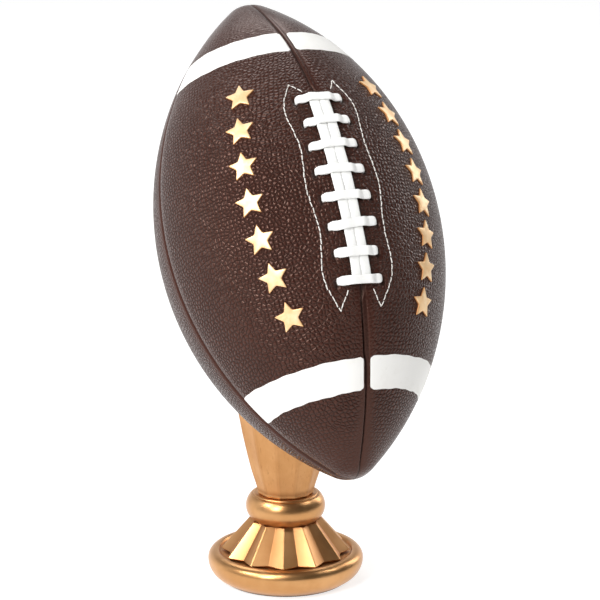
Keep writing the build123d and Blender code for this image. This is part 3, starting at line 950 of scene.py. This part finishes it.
class AWARD_OT_lacing(bpy.types.Operator):
    """Build the two lace runs and the crossings over them"""

    bl_idname = "award.lacing"
    bl_label = "Lacing"
    bl_options = {"REGISTER", "UNDO"}

    def execute(self, context):
        sizes, lacing, _, colours, _ = settings()
        ball = BallShape(sizes)
        lace = material("white_lace", lambda: lace_finish(colours))
        heights = crossing_heights(lacing)
        width, thick = lacing.width / MM, lacing.thickness / MM
        run_half = heights[0] - 0.4
        rng = np.random.default_rng(7)
        for name, side in (("lace_run_left", -1), ("lace_run_right", 1)):
            along = np.linspace(-run_half, run_half, 170)
            press = sum(dent(along - height, 3.4) for height in heights)
            wave = 0.10 * np.sin(along * 0.21 + rng.uniform(0, 6))
            wave += 0.06 * np.sin(along * 0.53 + rng.uniform(0, 6))
            puff = 1.07 - 0.09 * press + 0.01 * np.sin(along * 0.9 + rng.uniform(0, 6))
            end = np.sqrt(np.clip(1 - (np.clip(np.abs(along) - run_half + 1.6, 0, 1.6) / 1.6) ** 2, 0.04, 1))
            section = round_section(1.0, 1.0, 3.4, 22)
            narrow = 1 - 0.07 * ease(-10, 30, -along)
            sections = sized(section, width * narrow * (0.75 + 0.25 * end), thick * puff * end)
            lateral = side * (width * narrow / 2 + 0.03) + wave * 0.4 + lace_drift(along)
            path, outs = ball.over(lateral, along, LACE_OFF + thick * 0.5 * puff)
            shell = Shell()
            sweep(shell, path, outs, sections)
            piece = shell.make(name + "_lace", lace)
            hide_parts(name)
        for number, (height, tilt, reach, offset) in enumerate(CrossingLay(lacing).items, start=1):
            self.crossing(ball, lacing, number, height, tilt, reach, offset, lace, rng)
        return {"FINISHED"}

    @staticmethod
    def crossing(ball, lacing, number, height, tilt, reach, offset, lace, rng):
        """One short lace: over both runs, down beside them, and into a hole at each end."""
        thick, wide = lacing.thickness / MM, lacing.crossing_width / MM
        run_top = LACE_OFF + thick
        bend = 1.5
        flat = np.linspace(0, reach - bend, 34)
        rest = 0.12 + thick / 2
        over = run_top + thick / 2 + 0.02
        lift = rest + (over - rest) * (1 - ease(5.0, 8.9, flat))
        lift += 0.10 * dent(flat - 4.6, 1.6) - 0.12 * dent(flat, 2.2)
        down = np.radians(np.linspace(0, 90, 9))[1:]
        out_x = np.concatenate([flat, reach - bend + bend * np.sin(down), [reach + 0.02, reach + 0.03]])
        below = rest - bend
        out_lift = np.concatenate([lift, below + bend * np.cos(down), [below - 0.8, below - 1.5]])
        half = np.stack([out_x, out_lift], axis=1)
        lateral = np.concatenate([-half[:0:-1, 0], half[:, 0]]) + offset
        lifts = np.concatenate([half[:0:-1, 1], half[:, 1]])
        sag = 0.18 * rng.uniform(-1, 1) * np.sin(lateral / reach * math.pi)
        heights = height + lateral * math.tan(tilt) + sag
        path, outs = ball.over(lateral, heights, lifts)
        along = unit(np.gradient(path, axis=0))
        # Down in the hole the lace turns with its path, so outwards follows it there.
        up = np.repeat(ball.up[None], len(path), axis=0)
        up = unit(up - outs * np.sum(up * outs, axis=1, keepdims=True))
        face = unit(np.cross(along, up))
        face = np.where(np.sum(face[len(face) // 2] * outs[len(face) // 2]) < 0, -face, face)
        body = 1 + 0.05 * dent(np.abs(lateral) - 10, 2.5) - 0.03 * dent(lateral, 4)
        end = 1 - ease(reach - 1.9, reach + 0.05, np.abs(lateral - offset))
        widths = wide * (1 + rng.uniform(-0.03, 0.03)) * body * (0.80 + 0.20 * end)
        section = round_section(1.0, 1.0, 3.0, 24)
        shell = Shell()
        sweep(shell, path, face, sized(section, widths, thick * (0.94 + 0.06 * end)))
        piece = shell.make(f"lace_crossing_{number}_lace", lace)
        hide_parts(f"lace_crossing_{number}")


class AWARD_OT_stitches(bpy.types.Operator):
    """Sew the wavy line of stitches each side of the lacing"""

    bl_idname = "award.stitches"
    bl_label = "Facing Stitches"
    bl_options = {"REGISTER", "UNDO"}

    def execute(self, context):
        sizes, lacing, _, colours, _ = settings()
        ball = BallShape(sizes)
        thread = material("white_thread", lambda: thread_finish(colours))
        holes = CrossingLay(lacing).holes()
        radius = lacing.thread_radius / MM
        turns = np.linspace(0, 2 * math.pi, 8, endpoint=False)
        circle = np.stack([np.cos(turns), np.sin(turns)], axis=1)
        rng = np.random.default_rng(23)
        heights = (48.0, 24.0, 0.0, -24.0, -48.0)
        left = [(13.5, 64.0), *zip((21.0, 19.4, 21.8, 19.4, 21.0), heights), (13.5, -66.0)]
        right = [(12.4, 65.0), *zip((19.6, 18.3, 20.2, 17.6, 18.9), heights), (9.9, -66.0)]
        for name, side, points, upper_end, lower_end in (
            ("facing_stitches_left", -1, left, (7.6, 58.4), (8.3, -55.8)),
            ("facing_stitches_right", 1, right, (9.6, 58.8), (5.9, -56.6)),
        ):
            line = np.vstack([[upper_end], smooth_line(points, 400), [lower_end]]) * (side, 1)
            total = np.sum(np.linalg.norm(np.diff(line, axis=0), axis=1))
            count = round(total / (lacing.stitch_pitch / MM))
            fine = spread(line, count * STITCH_POINTS + 1)
            shell = Shell()
            for i in range(count):
                part = fine[i * STITCH_POINTS : (i + 1) * STITCH_POINTS].copy()
                part += rng.uniform(-0.16, 0.16, 2)[None]
                across = part[-1] - part[0]
                normal = np.array((-across[1], across[0])) / max(np.linalg.norm(across), 1e-6)
                part += normal[None] * (rng.uniform(-0.22, 0.22) * np.linspace(-1, 1, len(part)))[:, None]
                share = np.linspace(0, 1, len(part))
                arch = -0.55 + (0.72 + rng.uniform(-0.08, 0.08)) * np.sin(math.pi * share) ** 0.35
                slope = ball.slope_at(part[:, 1])
                turn = part[:, 0] / ball.profile(slope)[0]
                relief = ball.relief(slope, turn, holes)[0]
                path = ball.point(slope, turn, relief + arch)
                outs = ball.outward(slope, turn)
                thick = radius * (0.86 + 0.14 * np.sin(math.pi * share) ** 0.5)
                sweep(shell, path, outs, sized(circle, thick, thick * 0.9))
            piece = shell.make(name + "_thread", thread)
            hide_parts(name)
        return {"FINISHED"}


class AWARD_OT_stars(bpy.types.Operator):
    """Build the two rows of raised gold stars"""

    bl_idname = "award.stars"
    bl_label = "Gold Stars"
    bl_options = {"REGISTER", "UNDO"}

    def execute(self, context):
        sizes, lacing, _, colours, _ = settings()
        ball = BallShape(sizes)
        gold = material("star_gold", lambda: foil_finish(colours))
        outline = self.outline(lacing.star_radius / MM, lacing.star_waist / MM)
        # Each ring: how much of the outline it keeps, how high it lies, how much of an edge it is.
        rings = (
            (1.0, -STAR_UNDER, 1.0),
            (1.0, 0.30, 1.0),
            (0.988, 0.52, 0.9),
            (0.955, 0.70, 0.55),
            (0.91, 0.79, 0.12),
            (0.80, 0.84, 0.0),
            (0.55, 0.88, 0.0),
            (0.28, STAR_OVER, 0.0),
        )
        rng = np.random.default_rng(31)
        for name, side, count in (
            ("stars_left", -1, lacing.stars_left),
            ("stars_right", 1, lacing.stars_right),
        ):
            shell = Shell()
            for i in range(count):
                share = 1 - 2 * i / (count - 1)
                height = STAR_ROW_HALF * share
                arc = side * math.radians(38.5 - 3.5 * share**2)
                spin = rng.uniform(-0.05, 0.05)
                spun = outline @ np.array(((math.cos(spin), -math.sin(spin)), (math.sin(spin), math.cos(spin))))
                rows = [self.lay(ball, height, arc, spun * scale, lift) for scale, lift, _ in rings]
                marks = np.repeat(np.array([rim for _, _, rim in rings])[:, None], len(outline), axis=1)
                numbers = shell.add(np.stack(rows), rim=marks)
                shell.skin(numbers, around=True)
                hub = np.zeros((1, 2))
                top = shell.add(self.lay(ball, height, arc, hub, STAR_OVER), rim=np.zeros(1))[0]
                low = shell.add(self.lay(ball, height, arc, hub, -STAR_UNDER), rim=np.ones(1))[0]
                shell.fan(numbers[-1], top)
                shell.fan(numbers[0], low, flip=True)
            piece = shell.make(name + "_gold", gold)
            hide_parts(name)
        return {"FINISHED"}

    @staticmethod
    def lay(ball, height, arc, flat, lift):
        """Flat points, laid on the ball round a height and an arc, that high off it."""
        slope = math.asin(height / ball.side) + flat[:, 1] / ball.side
        at = ball.radius_at(ball.profile(slope)[1])
        turn = arc + flat[:, 0] / at
        return ball.point(slope, turn, lift + 0 * turn)

    @staticmethod
    def outline(reach, waist):
        """A five-pointed star with slightly rounded corners, one point to the ball's top end."""
        corners = []
        for i in range(10):
            turn = math.radians(90 + i * 36)
            out = waist if i % 2 else reach
            corners.append((out * math.cos(turn), out * math.sin(turn)))
        fine = spread(np.array(corners + corners[:1]), 141)[:-1]
        smooth = fine.copy()
        for _ in range(3):
            smooth = (np.roll(smooth, 1, axis=0) + 2 * smooth + np.roll(smooth, -1, axis=0)) / 4
        return smooth


class AWARD_OT_stand(bpy.types.Operator):
    """Build the stem, the bead, the skirt, the foot and the felt"""

    bl_idname = "award.stand"
    bl_label = "Stand"
    bl_options = {"REGISTER", "UNDO"}

    def execute(self, context):
        sizes, _, stand, colours, _ = settings()
        ball = BallShape(sizes)
        smooth_gold, stem_gold = (
            material(name, lambda: stand_finish(colours, name, streaks, rough))
            for name, streaks, rough in (("satin_gold_paint", 0.0, 0.25), ("brushed_gold_paint", 0.55, 0.34))
        )
        felt = material("black_felt", felt_finish)
        self.stem(ball, stand, stem_gold)
        self.bead(stand, smooth_gold)
        self.skirt(stand, smooth_gold)
        self.foot(stand, smooth_gold)
        self.felt(felt)
        return {"FINISHED"}

    @staticmethod
    def hub(shell, height, dip=0.0):
        """Adds a point on the stand's axis, to close a ring with, and the painted shade it gets."""
        return shell.add(np.array([[0, 0, height]]), dip=np.array([dip]))[0]

    @staticmethod
    def off_ball(ball, points):
        """How far points are from the ball's surface, outside it."""
        local = points - ball.middle
        height = np.abs(local @ ball.up)
        sideways = local @ ball.right
        depth = local @ ball.back
        turn = np.arctan2(sideways, -depth)
        radius = np.hypot(sideways, depth) / ball.swell(turn)
        on_nose = np.arctan2(height, radius + ball.offset) > ball.join
        side = np.hypot(radius + ball.offset, height) - ball.side
        nose = np.hypot(radius, height - ball.nose_up) - ball.nose
        return np.where(on_nose, nose, side)

    @classmethod
    def meets_ball(cls, ball, line, clear):
        """How far up each line of points, from 0 to 1, it comes this close to the ball."""
        low = np.zeros(len(line(0.0)))
        high = np.ones_like(low)
        for _ in range(36):
            middle = (low + high) / 2
            free = cls.off_ball(ball, line(middle)) > clear
            low, high = np.where(free, middle, low), np.where(free, high, middle)
        return (low + high) / 2

    @classmethod
    def stem(cls, ball, stand, gold):
        levels = smooth_line(
            [(50.9, 15.9), (57, 17.6), (66, 20.4), (78, 23.4), (92, 26.4), (112, 29.6), (150, 32.0)], 200
        )
        facets = stand.facets
        half = math.pi / facets
        parts = (np.linspace(-1, -0.955, 3), np.linspace(-0.88, 0.88, 9), np.linspace(0.955, 1, 3))
        within = np.concatenate(parts)[:-1]
        turns = np.concatenate([2 * half * i + within * half for i in range(facets)])
        turns = turns + half + math.radians(-4.0)
        share = np.tile(within, facets)
        flat = math.cos(half) / np.cos(share * half)
        ridge = np.abs(share)
        form = flat - 0.010 * np.cos(share * math.pi / 2) ** 2 - 0.007 * ease(0.93, 1.0, ridge)
        # Painted shade along the ridges between the facets.
        dips = 0.14 * dent(ridge - 0.9, 0.09)

        def radius(z):
            return np.interp(z, levels[:, 0], levels[:, 1])

        def place(z, scale=1.0):
            reach = radius(z) * form * scale
            return np.stack([reach * np.cos(turns), reach * np.sin(turns), z + 0 * turns], axis=-1)

        base = BEAD_HIGH[2] + 0.25
        top = cls.meets_ball(ball, lambda t: place(base + t * STEM_SEARCH), 0.45) * STEM_SEARCH + base
        rows, marks = [], []
        # A small rolled lip at the foot, then up the facets to the slanted top.
        lip = [(0.25, 0.962), (0.25, 1.0), (0.7, 1.018), (1.25, 1.020), (1.75, 1.006), (2.2, 0.995)]
        for rise, scale in lip:
            rows.append(place(np.full_like(turns, base - 0.25 + rise), scale))
            # Painted shade in the groove above the lip.
            marks.append(np.full_like(turns, 0.35 * dent(rise - 2.3, 0.8)))
        for t in np.linspace(0, 1, 72)[1:]:
            z = base + 2.0 + (top - base - 2.0) * t
            # Painted shade where the stem meets the ball and the bead.
            shade = 0.45 * (1 - ease(0.0, 4.0, top - z)) + 0.4 * (1 - ease(2.0, 5.5, z - base))
            rows.append(place(z))
            marks.append(np.clip(shade + dips, 0, 1))
        for scale in (0.985, 0.95, 0.90, 0.80, 0.6, 0.4, 0.2):
            flat_xy = place(top)[:, :2] * scale
            clear = 0.5 if scale > 0.97 else (0.9 if scale > 0.93 else 1.5)

            def column(t, flat_xy=flat_xy):
                return np.stack([flat_xy[:, 0], flat_xy[:, 1], base + t * STEM_SEARCH + 0 * turns], axis=-1)

            z = cls.meets_ball(ball, column, clear) * STEM_SEARCH + base
            rows.append(np.stack([flat_xy[:, 0], flat_xy[:, 1], z], axis=-1))
            # Painted shade on the top, under the ball.
            marks.append(np.full_like(turns, 0.8))
        shell = Shell()
        numbers = shell.add(np.stack(rows), dip=np.stack(marks))
        shell.skin(numbers, around=True)

        def axis(t):
            return np.array([[0.0, 0.0, base + float(np.max(t)) * STEM_SEARCH]])

        hub_z = cls.meets_ball(ball, axis, 1.5)[0] * STEM_SEARCH + base
        shell.fan(numbers[-1], cls.hub(shell, hub_z, 0.8))
        shell.fan(numbers[0], cls.hub(shell, base, 0.8), flip=True)
        piece = shell.make("stem_casting", gold)
        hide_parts("stem")

    @classmethod
    def turned(cls, name, node, profile, gold, slot_name, around=180, sharp=None, dips=None):
        """A piece turned on the stand's axis from a profile that starts and ends on it."""
        profile = np.asarray(profile, float)
        turns = np.linspace(0, 2 * math.pi, around, endpoint=False)
        rings = np.stack(
            [
                profile[1:-1, :1] * np.cos(turns)[None],
                profile[1:-1, :1] * np.sin(turns)[None],
                np.repeat(profile[1:-1, 1:], around, axis=1),
            ],
            axis=-1,
        )
        marks = np.zeros(rings.shape[:2])
        # Painted shade along the profile, where asked for.
        if dips is not None:
            marks = np.repeat(dips(profile[1:-1])[:, None], around, axis=1)
        shell = Shell()
        numbers = shell.add(rings, dip=marks)
        shell.skin(numbers, around=True)
        for ring, end in ((numbers[0], profile[0]), (numbers[-1], profile[-1])):
            shell.fan(ring, cls.hub(shell, end[1]))
        piece = shell.make(name, gold, smooth_angle=sharp)
        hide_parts(node)

    @classmethod
    def bead(cls, stand, gold):
        tube = stand.bead_tube / MM
        widest = BEAD_HIGH[0]
        middle = (widest - tube, (SKIRT_HIGH[2] + BEAD_HIGH[2]) / 2)
        low = math.degrees(math.asin((SKIRT_HIGH[2] + 0.1 - middle[1]) / tube))
        profile = [(0, SKIRT_HIGH[2]), (17.6, SKIRT_HIGH[2]), (18.2, SKIRT_HIGH[2] + 0.02)]
        profile += arc_points(middle, tube, low, 47, 44)
        end = profile[-1]
        top = BEAD_HIGH[2]
        profile += [
            (end[0] - 0.5, end[1] + 0.18),
            (end[0] - 1.0, end[1] + 0.10),
            (end[0] - 1.25, end[1] + 0.35),
            (end[0] - 1.35, end[1] + 0.75),
            (end[0] - 1.75, end[1] + 1.05),
            (end[0] - 2.4, end[1] + 1.02),
            (end[0] - 2.9, end[1] + 0.55),
            (end[0] - 3.2, top + 0.02),
            (15.0, top),
            (0, top),
        ]
        # Painted shade where the bead meets the skirt, and in the groove by its lip.
        cls.turned(
            "bead_turning", "bead", profile, gold, "stand_gold",
            dips=lambda p: 0.3 * dent(p[:, 1] - SKIRT_HIGH[2], 1.2)
            + 0.4 * dent(p[:, 0] - (end[0] - 1.1), 0.35),
        )

    @classmethod
    def foot(cls, stand, gold):
        radius = stand.foot_radius / MM
        felt_top = FELT_HIGH[2]
        widest, under, crest = 11.8, 11.2, 5.2
        bottom = -math.degrees(math.asin((widest - 1.15) / under))
        inner = FELT_HIGH[0] - 0.9
        profile = [(0, felt_top), (inner, felt_top), (inner, 1.05), (inner + 0.25, 0.86), (inner + 0.8, 0.84)]
        profile += [p for p in arc_points((radius - under, widest), under, bottom, 0, 26) if p[0] > inner + 1.3]
        profile += arc_points((radius - crest, widest), crest, 0, 96, 26)[1:]
        last = profile[-1]
        profile += [(last[0] - 0.7, last[1] - 0.35), (37.6, FOOT_TOP + 0.3), (37.0, FOOT_TOP + 0.08)]
        profile += [(36.2, FOOT_TOP), (31.0, FOOT_TOP), (0, FOOT_TOP)]
        # Painted shade under the skirt's hem, and just above the felt.
        cls.turned(
            "foot_turning", "foot", profile, gold, "stand_gold", around=220,
            dips=lambda p: 0.35 * (1 - ease(36.8, 38.6, p[:, 0])) * ease(12, 14, p[:, 1])
            + 0.3 * dent(p[:, 1] - felt_top, 1.2),
        )

    @classmethod
    def felt(cls, felt):
        radius, top = FELT_HIGH[0] - 1.0, FELT_HIGH[2]
        profile = [(0, 0), (radius - 0.5, 0.0), (radius - 0.12, 0.12), (radius, 0.45), (radius - 0.03, 1.0)]
        profile += [(radius - 0.15, 1.35), (radius - 0.4, top), (0, top)]
        cls.turned("felt_disc", "felt_pad", profile, felt, "felt_black", around=200)

    @classmethod
    def skirt(cls, stand, gold):
        """Pleats like a paper fan: flat facets between narrow ridges and valleys."""
        pleats = stand.pleats
        first = stand.pleat_turn - math.pi / 2
        hem, top = 16.3, SKIRT_HIGH[2]
        levels = ((top, 20.6, 18.2), (hem + 0.45, 36.62, 32.25), (hem, 36.45, 32.1))
        ridge_half, valley_half = 0.32, 0.12

        def ring(ridge, valley, z):
            corners = []
            for i in range(pleats):
                for turn, reach, half in (
                    (first + 2 * math.pi * i / pleats, ridge, ridge_half),
                    (first + 2 * math.pi * (i + 0.5) / pleats, valley, valley_half),
                ):
                    for way in (-1, 1):
                        angle = turn + way * half / reach
                        corners.append((reach * math.cos(angle), reach * math.sin(angle), z))
            return np.array(corners)

        rows, marks = [], []
        (z0, ridge0, valley0), (z1, ridge1, valley1), (z2, ridge2, valley2) = levels
        # Painted shade in each valley, below the bead, under the hem and on the plinth.
        valley_shade_paint = np.tile([0.0, 0.0, 0.55, 0.55], pleats)
        for t in np.linspace(0, 1, 26):
            ridge, valley = ridge0 + (ridge1 - ridge0) * t, valley0 + (valley1 - valley0) * t
            rows.append(ring(ridge, valley, z0 + (z1 - z0) * t))
            marks.append(np.clip(valley_shade_paint + 0.4 * (1 - ease(0.0, 0.06, t)), 0, 1))
        rows.append(ring(ridge2, valley2, z2))
        marks.append(valley_shade_paint)
        rows.append(ring(ridge2 - 1.4, valley2 - 1.0, z2))
        marks.append(np.full(4 * pleats, 0.4))
        for reach, z in ((30.0, z2), (29.8, FOOT_TOP)):
            rows.append(ring(reach, reach, z))
            marks.append(np.full(4 * pleats, 0.5))
        shell = Shell()
        numbers = shell.add(np.stack(rows), dip=np.stack(marks))
        shell.skin(numbers, around=True)
        shell.fan(numbers[0], cls.hub(shell, top))
        shell.fan(numbers[-1], cls.hub(shell, FOOT_TOP, 1.0))
        piece = shell.make("skirt_casting", gold, smooth_angle=12)
        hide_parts("skirt")


class AWARD_OT_inside(bpy.types.Operator):
    """Give the parts inside the award their finishes"""

    bl_idname = "award.inside"
    bl_label = "Inside Parts"
    bl_options = {"REGISTER", "UNDO"}

    def execute(self, context):
        steels = (0.50, 0.51, 0.53), (0.40, 0.41, 0.43)
        for name, nodes, *look in (
            ("moulded_plastic", ("core_front", "core_back"), (0.10, 0.10, 0.11), (0.14, 0.14, 0.15), 0.0012, 0.45),
            ("black_rubber", ("saddle_pad",), (0.018, 0.017, 0.016), (0.035, 0.033, 0.030), 0.0008, 0.7),
            ("turned_brass", ("rod_insert",), (0.62, 0.45, 0.18), (0.50, 0.34, 0.12), 0.0005, 0.28, 1.0),
            # Steel also has its own grain depth, and a grain drawn out along the rod.
            ("drawn_steel", STEEL_NODES, *steels, 0.0004, 0.3, 1.0, 0.00003, (1, 1, 0.05)),
            ("cast_iron", ("ballast_disc",), (0.10, 0.09, 0.085), (0.16, 0.13, 0.11), 0.0015, 0.55, 0.85, 0.0002),
            ("facing_leather", ("lace_facing",), (0.10, 0.055, 0.04), (0.14, 0.08, 0.055), 0.0007, 0.6),
        ):
            finish = plain_finish(name, *look)
            for node in nodes:
                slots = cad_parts[node].material_slots
                for slot in slots:
                    slot.material = finish
                if not slots:
                    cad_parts[node].data.materials.append(finish)
        return {"FINISHED"}


class AWARD_OT_stage(bpy.types.Operator):
    """Set up the floor, the surroundings, the lights and the camera"""

    bl_idname = "award.stage"
    bl_label = "Stage"
    bl_options = {"REGISTER", "UNDO"}

    def execute(self, context):
        stage = settings()[4]
        self.floor(stage)
        self.surroundings(stage)
        self.lights(stage)
        self.camera(stage)
        context.scene.view_settings.view_transform = "Standard"
        return {"FINISHED"}

    @staticmethod
    def floor(stage):
        mesh = bpy.data.meshes.new("floor")
        corners = [(-6.0, -6.0, 0), (6.0, -6.0, 0), (6.0, 6.0, 0), (-6.0, 6.0, 0)]
        mesh.from_pydata(corners, [], [(0, 1, 2, 3)])
        finish = Finish(
            "pale_floor",
            Specular_IOR_Level=0.1,
            Roughness=0.8,
            Emission_Color=(1.0, 1.0, 1.0),
            Emission_Strength=stage.floor_glow,
        )
        cloud = finish.noise(finish.place(), 0.6, 2.0)
        pale = tuple(stage.floor)
        mesh.materials.append(finish.set(Base_Color=finish.mix(pale, tuple(c * 0.985 for c in pale), cloud)))
        floor = bpy.data.objects.new("floor", mesh)
        bpy.context.scene.collection.objects.link(floor)
        floor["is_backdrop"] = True

    @staticmethod
    def surroundings(stage):
        world = bpy.data.worlds.new("studio_surroundings")
        nodes = Nodes(world)
        around = nodes.add("ShaderNodeTexCoord").outputs["Generated"]
        toward = nodes.add("ShaderNodeSeparateXYZ", {}, {0: around})
        x, y, z = (Amount(nodes, toward.outputs[k]) for k in range(3))
        behind = y.between(0.05, 0.75) * (1 - z.between(0.18, 0.55) * 0.75)
        left = (x * -1.0).between(0.35, 0.85)
        glow = (0.06 + behind * 0.90 + left * 0.38) * stage.surround
        back = nodes.add("ShaderNodeBackground", {}, {"Color": (1.0, 1.0, 1.0), "Strength": glow})
        nodes.add("ShaderNodeOutputWorld", {}, {"Surface": back.outputs[0]})
        bpy.context.scene.world = world

    @staticmethod
    def lights(stage):
        aim = Vector((0.0, -0.02, 0.17))
        for name, place, size, height, share in (
            ("key_light", (-1.50, -1.15, 1.25), 0.5, 0.7, 1.0),
            ("over_light", (-0.92, -0.92, 1.68), 0.5, 0.5, 0.50),
            ("left_high_light", (-1.43, -0.06, 1.38), 0.42, 0.42, 0.6),
            ("right_light", (1.28, -0.45, 1.50), 0.32, 0.5, 0.20),
            ("side_light", (1.60, 0.50, 0.80), 0.45, 1.1, 0.30),
            ("back_light", (0.3, 1.3, 1.9), 1.4, 1.0, 0.6),
        ):
            lamp = bpy.data.lights.new(name, "AREA")
            lamp.shape = "RECTANGLE"
            lamp.size, lamp.size_y = size, height
            lamp.energy = stage.key_power * share
            light = bpy.data.objects.new(name, lamp)
            light.location = place
            light.rotation_euler = (aim - Vector(place)).to_track_quat("-Z", "Y").to_euler()
            bpy.context.scene.collection.objects.link(light)

    @staticmethod
    def camera(stage):
        turn, rise = stage.azimuth, stage.elevation
        back = Vector((math.sin(turn) * math.cos(rise), -math.cos(turn) * math.cos(rise), math.sin(rise)))
        lens = bpy.data.cameras.new("camera")
        lens.lens = stage.lens
        lens.sensor_width = 36.0
        lens.clip_start, lens.clip_end = 0.05, 60.0
        camera = bpy.data.objects.new("camera", lens)
        camera.location = Vector(stage.target) + back * stage.distance
        camera.rotation_euler = back.to_track_quat("Z", "Y").to_euler()
        bpy.context.scene.collection.objects.link(camera)
        bpy.context.scene.camera = camera


class AWARD_PT_panel(bpy.types.Panel):
    """Football Award: its sizes, colours and steps"""

    bl_label = "Football Award"
    bl_idname = "AWARD_PT_panel"
    bl_space_type = "VIEW_3D"
    bl_region_type = "UI"
    bl_category = "Football Award"

    def draw(self, context):
        for group in SETTINGS:
            box = self.layout.box()
            box.label(text=group.replace("award_", "").capitalize())
            for name in getattr(context.scene, group).__annotations__:
                box.prop(getattr(context.scene, group), name)
        for operator in STEPS:
            self.layout.operator(operator.bl_idname)


SETTINGS = {
    "award_ball": BallSizes,
    "award_lacing": LaceSizes,
    "award_stand": StandSizes,
    "award_colours": Colours,
    "award_stage": StageSettings,
}
STEPS = (
    AWARD_OT_panels,
    AWARD_OT_stripes,
    AWARD_OT_lacing,
    AWARD_OT_stitches,
    AWARD_OT_stars,
    AWARD_OT_stand,
    AWARD_OT_inside,
    AWARD_OT_stage,
)


def register():
    for group in (*SETTINGS.values(), *STEPS, AWARD_PT_panel):
        bpy.utils.register_class(group)
    for name, group in SETTINGS.items():
        setattr(bpy.types.Scene, name, bpy.props.PointerProperty(type=group))


def unregister():
    for name in SETTINGS:
        delattr(bpy.types.Scene, name)
    for group in reversed((*SETTINGS.values(), *STEPS, AWARD_PT_panel)):
        bpy.utils.unregister_class(group)


def main():
    register()
    bpy.ops.award.panels()
    bpy.ops.award.stripes()
    bpy.ops.award.lacing()
    bpy.ops.award.stitches()
    bpy.ops.award.stars()
    bpy.ops.award.stand()
    bpy.ops.award.inside()
    bpy.ops.award.stage()
    boxes = {"cad": FRAME_BOX, "visual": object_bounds()}
    {name: [list(corner) for corner in box] for name, box in boxes.items()}


if __name__ == "__main__":
    main()
